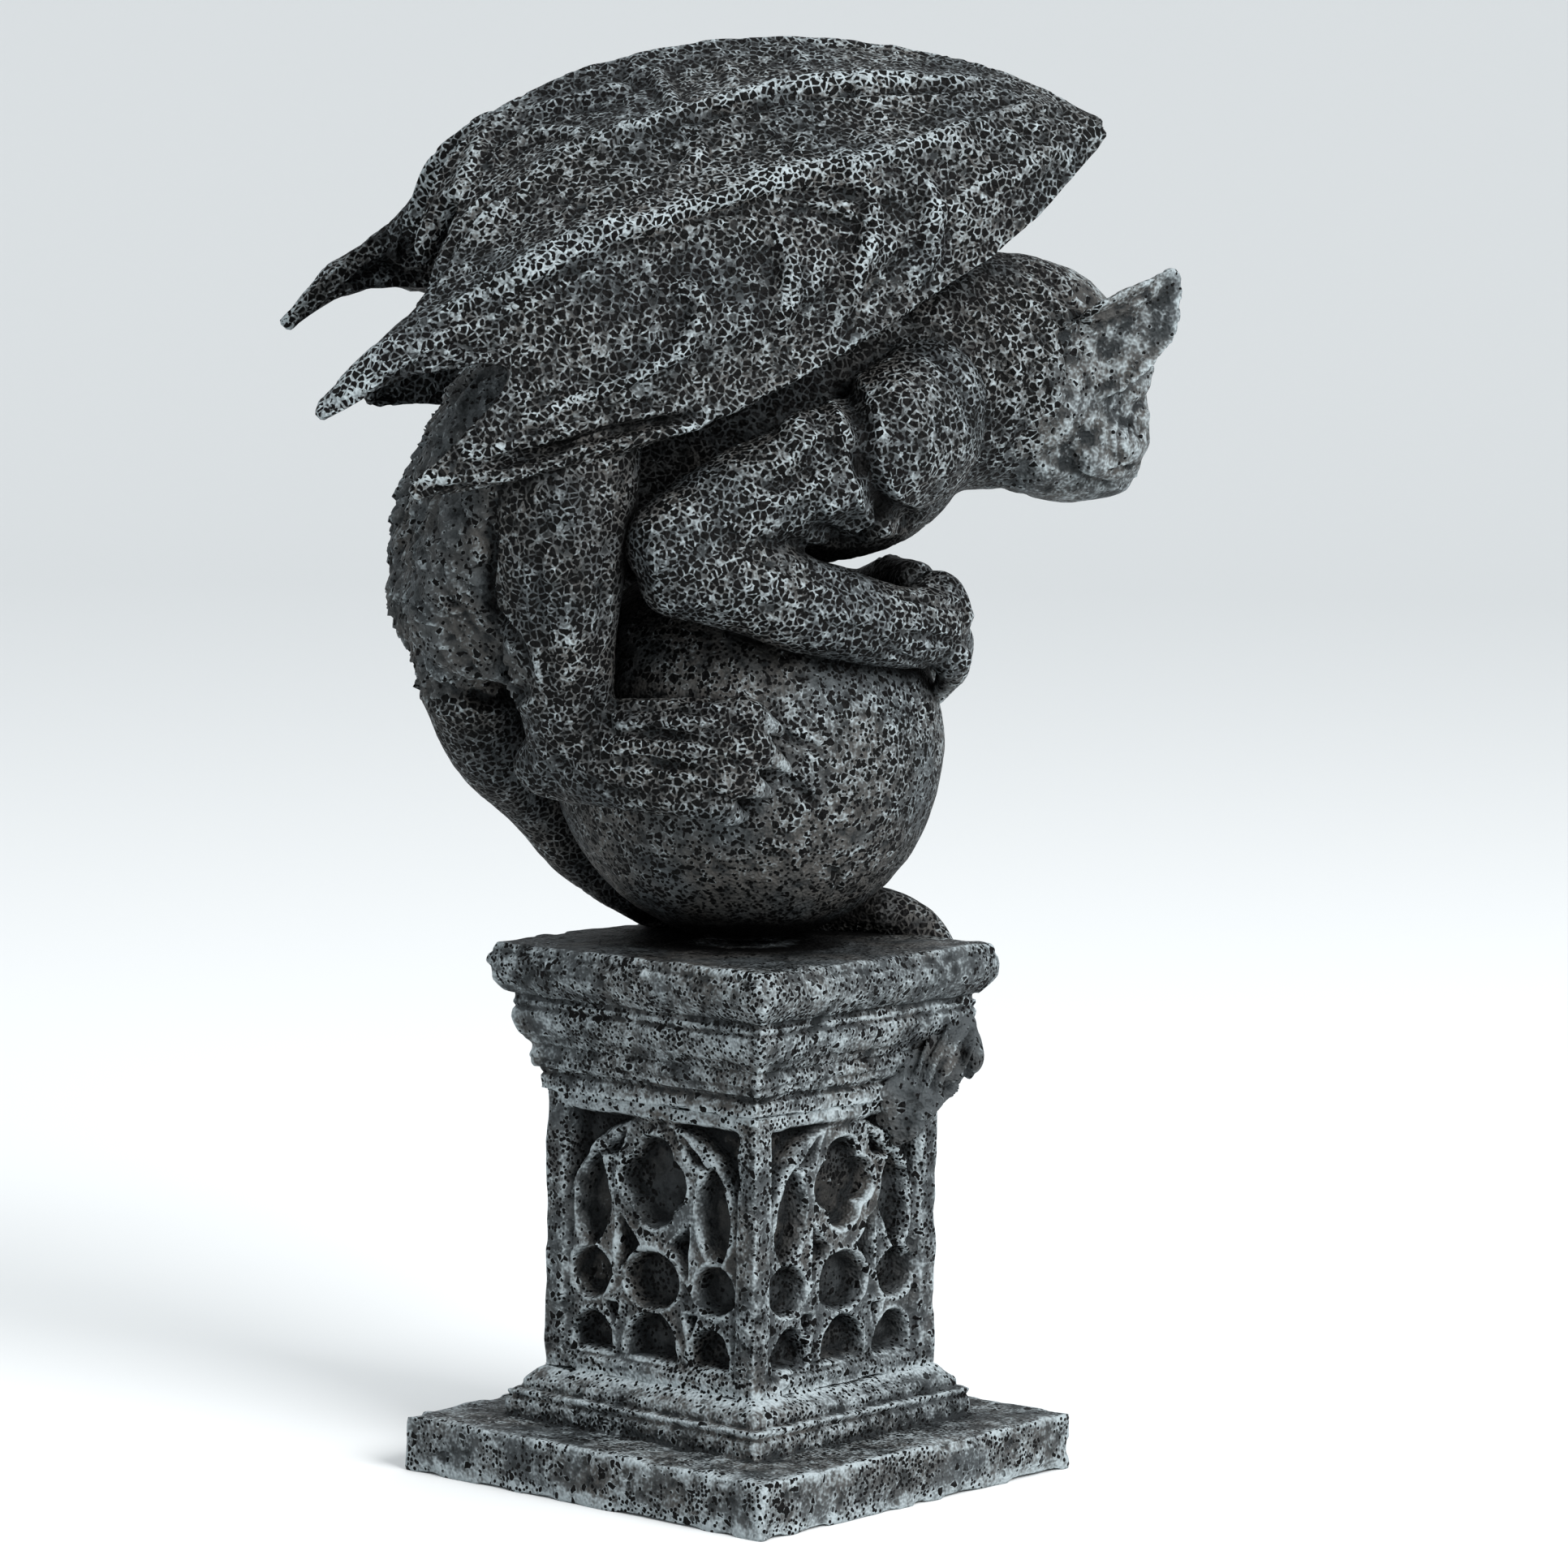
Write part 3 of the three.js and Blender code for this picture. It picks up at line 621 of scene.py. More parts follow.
class Shade:
    """Tells how much of a surface other forms hide, for painted shade there: a darker ground and less pale
    brushing.
    """

    def __init__(self, shells: list[Shell], others: list[Skin]) -> None:
        """Takes the figure's shells and what stands beside them."""
        parts = [(to_world(shell.points), shell.faces) for shell in shells]
        parts += [(skin.points, skin.faces()) for skin in others]
        points, faces = joined(parts)
        self.tree = BVHTree.FromPolygons(points, faces)
        rays = [(0, 0, 1), *((x, y, 0.66) for x, y in ((0.75, 0), (-0.75, 0), (0, 0.75), (0, -0.75)))]
        self.rays = unit(np.array(rays, float))

    def lay(self, skin: Skin, reach: float = 26.0, lift: float = 1.5) -> None:
        """Gives the skin its layer.

        Args:
            skin: what is looked at.
            reach: how far a form may be to hide it, in millimetres.
            lift: how far over the skin the looking starts.
        """
        n = skin.normals()
        side = unit(np.cross(n, (0.31, 0.52, 0.79)))
        other = np.cross(n, side)
        known = np.zeros(len(n))
        value = np.zeros(len(n))
        for i in np.random.default_rng(7).choice(len(n), len(n) // 4, replace=False).tolist():
            start = Vector(skin.points[i] + n[i] * lift)
            seen = 0.0
            for ray in self.rays:
                way = side[i] * ray[0] + other[i] * ray[1] + n[i] * ray[2]
                far = self.tree.ray_cast(start, Vector(way), reach)[3]
                seen += 1.0 if far is None else min(1.0, far / reach)
            known[i], value[i] = 1.0, seen / len(self.rays)
        known, value = skin.blurred(known, 4, 0.8), skin.blurred(value, 4, 0.8)
        # Painted shade: the share of rays that get out, and the finish paints the surface darker where it is
        # low.
        skin.layers["painted_shade_free"] = skin.blurred(value / np.maximum(known, 1e-3), 4)


def on_photo(points: Array) -> Array:
    """Pixels of points that near_frame gave."""
    return VIEW.project(to_world(points))


def claws(points: Array, digits: tuple[tuple[float, ...], ...], reach: float) -> Array:
    """How near points of near_frame are to the tips of digits, from 0 at the reach to 1 at the tips."""
    claw = np.zeros(len(points))
    for *_, turn, rise in digits:
        tip = np.array(on_globe(-1, turn, rise, 0.5))
        claw = np.maximum(claw, ease(reach, reach - 2.5, np.linalg.norm(points - tip, axis=1)))
    return claw


@dataclass
class Head:
    """Head, ears, muzzle and jaw, in the head's own frame until they are seated."""

    ear_wall: float = 1.7

    def shells(self) -> list[Shell]:
        """All pieces of the head, seated on the neck."""
        made = [
            limb(
                [
                    (-3, 0, 1.5, 11, 13), (4, 0, -1, 10.5, 11.5), (8.5, 0, -4.6, 8.4, 9),
                    (11.5, 0, -7.6, 6.6, 6),
                ],
                28,
                end=0.4,
            ),
            limb([(-5, 0, -8.5, 8.5, 5.5), (3, 0, -10.8, 7.8, 4.6), (9.6, 0, -11.6, 5.4, 3)], 22, end=0.5),
            limb([(9, 0, 3.5, 2.6, 2.2), (11.4, 0, -0.6, 2.2, 2.2), (13.2, 0, -4.2, 2.9, 2.4)], 14),
        ]
        for side in (-1.0, 1.0):
            made += self.half(side)
        return [shell.moved(HEAD_TURN, HEAD_SEAT) for shell in made]

    def half(self, side: float) -> list[Shell]:
        """What the head has on each side."""
        s = side
        return [
            limb(
                [
                    (11.4, s * 1.2, 2.4, 1.9, 1.7), (11.2, s * 5.6, 3.0, 2.2, 1.9),
                    (7.2, s * 9.2, 1.8, 1.8, 2.0),
                ],
                14,
            ),
            limb([(10.6, s * 6.2, 3.6, 1.6), (12.4, s * 7.4, 4.9, 0.8)], 10),
            limb([(8.8, s * 8.2, 3.4, 1.4), (9.8, s * 9.4, 4.6, 0.7)], 10),
            limb([(9.6, s * 6.2, -3.6, 2.2), (10.5, s * 6.8, -4.0, 2.0)], 18),
            limb([(10.8, s * 4.2, -1.2, 0.9), (11.6, s * 6.8, -1.6, 1.0), (10.2, s * 8.8, -3.4, 0.8)], 12),
            limb([(11.6, s * 4.8, -6.0, 0.8), (11.4, s * 7.0, -6.5, 0.9), (9.6, s * 8.8, -5.2, 0.7)], 12),
            limb(
                [
                    (2, s * 9.8, -4.4, 2.2, 2.6), (6.6, s * 8.6, -6.6, 2.6, 2.6),
                    (10.4, s * 5.4, -7.6, 1.9, 1.9),
                ],
                14,
            ),
            limb([(0, s * 9.0, -8.2, 2.6, 2.8), (5.4, s * 7.6, -9.4, 2.6, 2.4)], 14),
            limb([(12.8, 0, -8.8, 1.7), (11.6, s * 3.8, -9.2, 1.7), (7.6, s * 7, -9.8, 1.4)], 14),
            limb([(11.2, 0, -12.2, 1.6), (10.0, s * 3.4, -12, 1.6), (6.4, s * 6.2, -12, 1.4)], 14),
            limb([(12.8, s * 1.8, -4.8, 1.4), (13.6, s * 2.2, -6.2, 1.2)], 12),
            limb([(12.0, s * 4.1, -9.8, 0.8), (12.5, s * 4.3, -12.0, 0.3)], 10),
            cup(
                [
                    (-4, s * 8.6, 5, 1.6, 5.8),
                    (0.3, s * 12.2, 8.8, 3.4, 6.9),
                    (6, s * 14.2, 13.4, 3.0, 5.6),
                    (11, s * 15.0, 19.4, 0.6, 1.2),
                ],
                s,
                (-0.55, 0, 0.84),
                self.ear_wall,
            ),
            limb([(-2.5, s * 10, 9.6, 2.0, 2.2), (-6, s * 7.6, 8.4, 2.2, 2.4)], 12),
            limb([(0.5, s * 10, 1.6, 1.6), (2.6, s * 11.6, 4.6, 1.6), (4.5, s * 12.8, 8, 1.3)], 12),
        ]

    @property
    def folds(self) -> tuple[Stroke, ...]:
        """Wrinkles of the face and nape."""
        return (
            Stroke(((1332, 335), (1350, 350), (1370, 352)), 0.8, 0.6, 0.3),
            Stroke(((1322, 350), (1336, 368), (1352, 374)), 0.7, -0.6, 0.3),
            Stroke(((1390, 500), (1382, 520), (1380, 545), (1384, 566)), 0.5, -0.4, 0.2),
            Stroke(((1376, 498), (1370, 520), (1366, 545), (1372, 572)), 0.5, -0.35, 0.2),
            Stroke(((1362, 500), (1354, 520), (1350, 544)), 0.5, -0.3, 0.2),
            Stroke(((1346, 500), (1336, 520), (1334, 540)), 0.5, -0.3, 0.2),
            Stroke(((1398, 572), (1382, 580), (1366, 582)), 0.6, -0.7, 0.2),
            Stroke(((1404, 514), (1408, 528), (1404, 542)), 0.4, -0.7),
            Stroke(((1396, 512), (1392, 528), (1396, 546)), 0.5, -0.5, 0.3),
            Stroke(((1280, 560), (1310, 574), (1344, 590), (1376, 600)), 0.7, -0.5, 0.3),
            Stroke(((1230, 590), (1270, 600), (1310, 606)), 0.6, -0.3, 0.3),
            Stroke(((1386, 470), (1396, 480), (1412, 486)), 0.45, -0.4, 0.4),
            Stroke(((1340, 395), (1372, 388), (1404, 372), (1432, 350)), 0.5, 0.35, 0.2),
        )


@dataclass
class Foreparts:
    """Trunk over the globe, neck, head, arms, hands and the roots of the wings."""

    voxel: float = 0.66
    digits: tuple[tuple[float, ...], ...] = (
        (38, 28, 33, 24, 19, 16),
        (30, 33, 22, 28, 13, 14),
        (25, 39, 9, 35, 1, 19),
        (20, 45, -3, 42, -11, 25),
    )

    @property
    def folds(self) -> tuple[Stroke, ...]:
        """Rings round the neck, and edges of the muscles."""
        rings = (
            ((1245, 325), (1295, 344), (1327, 389), (1336, 430), (1332, 480)),
            ((1223, 339), (1277, 362), (1309, 407), (1318, 462), (1305, 516), (1277, 553)),
            ((1200, 352), (1250, 368), (1286, 412), (1296, 470), (1284, 525), (1258, 565)),
            ((1186, 360), (1228, 380), (1262, 418), (1272, 471), (1262, 525), (1236, 575)),
            ((1160, 380), (1198, 400), (1230, 440), (1238, 489), (1224, 540)),
        )
        return (
            *(Stroke(ring, 1.3, -0.6, 0.15) for ring in rings),
            Stroke(((1035, 470), (1060, 520), (1064, 570), (1090, 625), (1130, 645)), 1.8, -1.9, 0.35),
            Stroke(((930, 600), (975, 590), (1015, 560), (1050, 545)), 1.7, -1.5, 0.35),
            Stroke(((1000, 648), (1040, 664), (1080, 652), (1096, 620)), 1.4, -1.4, 0.3),
            Stroke(((960, 530), (1000, 515), (1040, 530), (1056, 560)), 2.4, 1.2),
            Stroke(((1010, 625), (1045, 612), (1080, 600)), 2.4, 1.3),
            Stroke(((1085, 440), (1130, 430), (1180, 470), (1195, 530)), 1.2, -0.5, 0.3),
            Stroke(((1085, 470), (1120, 500), (1130, 560), (1120, 610)), 3.8, 1.0),
            Stroke(((880, 650), (940, 690), (1010, 712), (1080, 730)), 1.2, -0.45, 0.4),
            Stroke(((900, 735), (970, 755), (1050, 778), (1100, 795)), 1.0, -0.4, 0.4),
            Stroke(((797, 670), (812, 690), (808, 712)), 1.6, 0.8),
            Stroke(((1100, 690), (1140, 700), (1190, 712)), 0.7, -0.6, 0.4),
            Stroke(((1105, 735), (1150, 742), (1200, 750)), 0.7, -0.6, 0.4),
            Stroke(((1100, 775), (1140, 785), (1185, 790)), 0.7, -0.6, 0.4),
            Stroke(((1086, 800), (1120, 812), (1160, 826)), 0.6, -0.5, 0.4),
            Stroke(((1180, 706), (1200, 716), (1206, 732)), 1.3, 0.8),
            Stroke(((1190, 756), (1208, 768), (1210, 782)), 1.3, 0.8),
            Stroke(((1176, 800), (1192, 812), (1190, 824)), 1.2, 0.7),
        )

    def arm(self, s: float) -> list[Shell]:
        """One arm, from the shoulder back to the elbow and on to the claws."""
        made = [
            limb(
                [
                    (22, s * 14, 48.5, 10, 10.5), (19, s * 20.5, 47, 10, 11), (6.5, s * 26.5, 42.6, 8, 8.4),
                    (-7, s * 29, 37.5, 7.4, 7.8), (-18.5, s * 30.5, 30.6, 7, 7.6),
                ],
            ),
            limb([(23, s * 18.5, 52.5, 8.5, 8.8), (16, s * 23.5, 48, 8.8, 9.4)]),
            limb([(16, s * 17, 40, 5, 5), (7, s * 24, 36.5, 4.8, 4.6), (-3, s * 27, 33.5, 3.6, 3.6)]),
            limb([(9, s * 25.4, 37.4, 5.2, 5), (13.5, s * 22.4, 36.4, 5.2, 5)]),
            limb([(2, s * 29.6, 44.5, 4.6, 5.4), (-5, s * 31, 40.6, 4.4, 5)]),
            limb(
                [
                    (-17, s * 30.5, 28.8, 7, 7.8),
                    (-8, s * 30, 26.5, 7, 7.4),
                    (3, s * 27, 22.5, 6.6, 7),
                    (*on_globe(s, 44, 33, 5.2), 5.4, 6),
                    (*on_globe(s, 30, 35, 6.6), 5.2, 6.6),
                ]
            ),
        ]
        for root_turn, root_rise, turn, rise, tip_turn, tip_rise in self.digits:
            mid = ((turn + tip_turn) / 2, (rise + tip_rise) / 2)
            made.append(
                limb(
                    [
                        (*on_globe(s, root_turn, root_rise, 5.6), 3.0),
                        (*on_globe(s, turn, rise, 5.6), 3.0),
                        (*on_globe(s, *mid, 3.4), 2.2),
                        (*on_globe(s, tip_turn, tip_rise, -0.2), 0.9),
                    ],
                    14,
                    end=1.2,
                )
            )
        return made

    def texture(self, skin: Skin) -> None:
        """Pores all over, but a smoother, paler head and smooth claws, and painted shade inside the ear's
        hollow.
        """
        weather(skin, 0.18, 21)
        p = skin.near_frame()
        head = ease(36, 48, p[:, 0] - 0.35 * (p[:, 2] - 50))
        claw = claws(p, self.digits, 6.0)
        smooth = np.maximum(head, claw)
        skin.layers["pits"] = 1.0 - 1.0 * smooth
        skin.layers["pores"] = 0.40 - 0.30 * smooth
        x, y = on_photo(p).T
        # Painted shade: the pale brushing is taken away inside the ear's hollow, so it is darker.
        ear = ease(1.0, 0.7, np.hypot((x - 1390) / 52, (y - 412) / 40)) * ease(-10, -12, p[:, 1])
        skin.layers["dry_brush_and_painted_light"] = 0.82 + 0.35 * smooth - 1.3 * ear

    def clay(self) -> Clay:
        """All shells of the foreparts."""
        clay = Clay()
        back_up = (-0.6, 0, 0.8)
        clay.add(
            limb(
                [
                    (-26, 0, 46, 14, 17), (-19, 0, 49.5, 17, 22.5), (-3, 0, 52, 19, 21), (13, 0, 51, 19, 20),
                    (25, 0, 53, 16.5, 17.5),
                ],
                30,
                up=back_up,
            ),
            limb(
                [(-6, 0, 36, 14, 9), (8, 0, 36.5, 15, 10), (18, 0, 39.5, 14, 10.5), (25, 0, 45, 12, 10)],
                24,
            ),
            limb(
                [
                    (14, 0, 52, 16, 17), (26, 0, 55, 15.5, 18), (36, 0.5, 55.5, 14.2, 17.8),
                    (43, 1, 54.4, 13.2, 17.2), (48.5, 2.5, 51, 11.5, 14.6),
                ],
                30,
                end=0.5,
            ),
            *Head().shells(),
        )
        for s in (-1.0, 1.0):
            clay.add(*self.arm(s))
            clay.add(
                limb(
                    [
                        (-14, s * 8, 68, 11, 12), (4, s * 9, 75, 11, 12), (22, s * 10, 82, 8.5, 9),
                        (38, s * 12.5, 87, 4.5), (46, s * 13.6, 89.6, 2.4),
                    ],
                ),
            )
        return clay


@dataclass
class Hindparts:
    """Rump, thighs, shins, feet with their toes, and the tail with its tuft."""

    voxel: float = 0.55
    toes: tuple[tuple[float, ...], ...] = (
        (124, 9.5, 103, 12.6, 93, 9),
        (125, 4, 101.5, 4.8, 91, -1),
        (126, -1.6, 105, -3, 95.5, -8.5),
        (127, -7, 110, -10, 103, -15.5),
    )

    @property
    def folds(self) -> tuple[Stroke, ...]:
        """Edges of the muscles, tendons of the foot, and the haunch's lower lobe."""
        return (
            Stroke(((605, 610), (604, 680), (612, 750), (640, 800), (652, 850)), 1.3, -1.3, 0.35),
            Stroke(((570, 850), (610, 862), (655, 850)), 1.3, -1.3, 0.5),
            Stroke(((700, 600), (712, 680), (706, 760), (690, 840)), 2.2, 0.6),
            Stroke(((752, 640), (745, 720), (738, 800)), 0.9, -0.4, 0.4),
            Stroke(((660, 640), (662, 720), (672, 800), (680, 870)), 1.0, -0.4, 0.4),
            Stroke(((735, 845), (742, 880), (760, 905)), 0.8, -0.6, 0.4),
            Stroke(((770, 875), (830, 872), (900, 885)), 0.8, -0.8, 0.5),
            Stroke(((750, 905), (820, 905), (905, 922)), 0.8, -0.9, 0.5),
            Stroke(((740, 935), (810, 940), (890, 958)), 0.8, -0.9, 0.5),
            Stroke(((760, 892), (830, 888), (910, 902)), 1.0, 0.4),
            Stroke(((750, 922), (820, 922), (905, 944)), 1.0, 0.4),
            Stroke(((730, 955), (800, 962), (875, 982)), 1.0, 0.35),
            Stroke(((905, 868), (925, 872), (940, 884)), 1.6, 0.9),
            Stroke(((915, 902), (935, 908), (948, 920)), 1.6, 0.9),
            Stroke(((912, 940), (930, 946), (942, 956)), 1.5, 0.9),
            Stroke(((880, 968), (896, 974), (906, 986)), 1.4, 0.8),
            Stroke(((660, 905), (700, 945), (760, 975), (820, 985)), 0.9, -0.5, 0.4),
        )

    @property
    def locks(self) -> tuple[Stroke, ...]:
        """Grooves between the tuft's locks, and ridges on them."""
        return (
            Stroke(((1148, 1266), (1130, 1300), (1120, 1334)), 0.7, -1.3, 0.5),
            Stroke(((1165, 1258), (1146, 1298), (1132, 1344)), 0.7, -1.3, 0.5),
            Stroke(((1182, 1256), (1166, 1298), (1148, 1342)), 0.7, -1.3, 0.5),
            Stroke(((1198, 1266), (1184, 1306), (1162, 1342)), 0.7, -1.3, 0.5),
            Stroke(((1206, 1290), (1188, 1326), (1164, 1348)), 0.7, -1.3, 0.5),
        )

    def leg(self, s: float) -> list[Shell]:
        """One hind leg, from the haunch up to the knee and down to the claws."""
        made = [
            limb(
                [
                    (-40, s * 8, 20, 11.5, 12.5), (-39.5, s * 14, 30, 11.5, 12), (-36, s * 21, 40, 10.5),
                    (-31, s * 25, 47, 9.6),
                ],
                22,
                up=AHEAD,
            ),
            limb(
                [
                    (-31, s * 25.5, 48, 9.4, 9.8),
                    (-32.5, s * 25.5, 37, 9.8, 10.4),
                    (-33, s * 25, 25, 8.4, 9.2),
                    (-32, s * 22.5, 13, 6.8, 7.4),
                    (*on_globe(s, 150, 4, 6), 5.8, 6.2),
                    (*on_globe(s, 158, -4, 6.5), 4.6, 5),
                ],
                22,
                up=AHEAD,
                end=0.6,
            ),
            limb(
                [
                    (*on_globe(s, 158, -2, 5), 4, 5.6),
                    (*on_globe(s, 142, 1, 4.4), 5.2, 7.6),
                    (*on_globe(s, 126, 1.6, 3.4), 4.8, 8.5),
                    (*on_globe(s, 112, 1.6, 1.2), 4.2, 8.6),
                ],
                22,
                end=0.5,
            ),
        ]
        for root_turn, root_rise, turn, rise, tip_turn, tip_rise in self.toes:
            mid = ((root_turn + turn) / 2, (root_rise + rise) / 2)
            made.append(
                limb(
                    [
                        (*on_globe(s, root_turn, root_rise, 5.6), 2.4),
                        (*on_globe(s, *mid, 5.2), 2.3),
                        (*on_globe(s, turn, rise, 3.9), 2.6),
                        (*on_globe(s, (turn + tip_turn) / 2, (rise + tip_rise) / 2, 2.6), 1.9),
                        (*on_globe(s, tip_turn, tip_rise, 0.2), 0.9),
                    ],
                    14,
                    end=1.2,
                )
            )
        return made

    def tail(self) -> list[Shell]:
        """Tail round the globe's far side and over the cap's edge and corner, and the tuft's locks."""
        edge, half, tuft = 26.3, 3.8, 2.6
        rest = CAP_TOP + half * 0.8
        root = to_world(np.array([(-41, 0, 9), (-37.6, 4, 0), (-30.4, 10.4, -8), (-21.4, 15.5, -17.7)]))
        stations = [(*p, r) for p, r in zip(root, (8.2, 6.8, 5.5, 5.0))]
        stations += [
            (-0.817 * edge, -0.046 * edge, CAP_TOP + 6.6, 4.6),
            (-0.776 * edge, 0.213 * edge, rest + 0.4, 4.3),
            (-0.475 * edge, 0.57 * edge, rest, half),
            (-0.095 * edge, 0.745 * edge, rest, half),
            (0.266 * edge, 0.905 * edge, rest, half),
            (0.475 * edge, edge + 1.4, CAP_TOP - 1.5, half),
            (0.608 * edge, edge + 1.2, CAP_TOP - 9, 3.6),
            (0.783 * edge, 0.94 * edge, OVOLO_TOP - 5.5, 3.4),
            (0.924 * edge, 0.852 * edge, BEAD_TOP - 2, 3.2),
        ]
        made = [limb(stations, 20)]
        for lock in range(5):
            low = lock * 1.9
            made.append(
                limb(
                    [
                        (edge - 3.4, 23 - lock * 0.9, BEAD_TOP + 3 - low, tuft),
                        (edge - 2.7, 15.6 - lock * 0.4, BAND_TOP + 3 - low, tuft * 0.92),
                        (edge - 3.9, 11 + lock * 0.2, BAND_TOP - 0.4 - low, tuft * 0.75),
                        (21.2, 6.6 + lock * 0.9, SHAFT_TOP + 1 - low, tuft * 0.4),
                    ],
                    12,
                )
            )
        made.append(limb([(20.8, 17, BAND_TOP - 1, 2.9), (20.2, 9.5, SHAFT_TOP - 3, 2.3)], 12))
        return [Shell(to_figure(shell.points), shell.faces) for shell in made]

    def texture(self, skin: Skin) -> None:
        """Flakes of fur on the haunch and tail root, a smooth tuft and claws, and pores elsewhere."""
        weather(skin, 0.16, 41)
        p = skin.near_frame()
        world = skin.points
        tuft = ease(17, 20, world[:, 0]) * ease(78, 70, world[:, 2])
        x, y = on_photo(p).T
        edge = np.interp(y, (480, 600, 750, 850), (640, 603, 612, 652))
        haunch = ease(6, -10, x - edge) * ease(872, 856, y) * (1 - tuft)
        turn = np.arctan2(p[:, 1], p[:, 0] + 8) * 30 + 0.45 * p[:, 2] + 2.2 * waves(p, 9.0, 44)
        hair = np.zeros(len(p))
        for thick, share, seed in ((1.9, 0.7, 45), (1.2, 0.3, 46)):
            bent = np.column_stack([turn, 0.25 * np.linalg.norm(p[:, :2], axis=1), 0.36 * p[:, 2]])
            off = nearest(bent, thick, seed)
            hair += share * (0.5 - off[:, 2]) * np.clip(1.1 - 3.0 * off[:, 0] ** 2, 0, 1)
        skin.raise_by(haunch * (1.5 * hair - 0.6))
        claw = claws(p, self.toes, 6.5)
        smooth = np.maximum(np.maximum(haunch, claw), tuft)
        skin.layers["pits"] = 1.0 - 0.8 * haunch - 0.85 * np.maximum(claw, tuft)
        skin.layers["pores"] = 0.40 - 0.2 * smooth
        skin.layers["dry_brush_and_painted_light"] = 0.64 + 0.6 * claw + 0.08 * haunch

    def clay(self) -> Clay:
        """All shells of the hindparts."""
        clay = Clay()
        clay.add(
            limb(
                [
                    (-42, 0, 8, 7, 6.5), (-41, 0, 17, 13, 10.5), (-38, 0, 30, 15.5, 13.5),
                    (-31, 0, 43, 16, 17), (-19, 0, 49.5, 16.6, 22),
                ],
                30,
                up=(-0.6, 0, 0.8),
                end=0.2,
            )
        )
        for s in (-1.0, 1.0):
            clay.add(*self.leg(s))
        clay.add(*self.tail())
        return clay


def wing_rise(points: Array, lift: float) -> Array:
    """How far the far wing stands above the near one's mirror image, at points of the figure's frame."""
    rear = ease(-10, 65, -points[:, 0]) * ease(0, 24, np.abs(points[:, 1]))
    return lift * rear[:, None] * np.array([0.3, 0.0, 1.0])


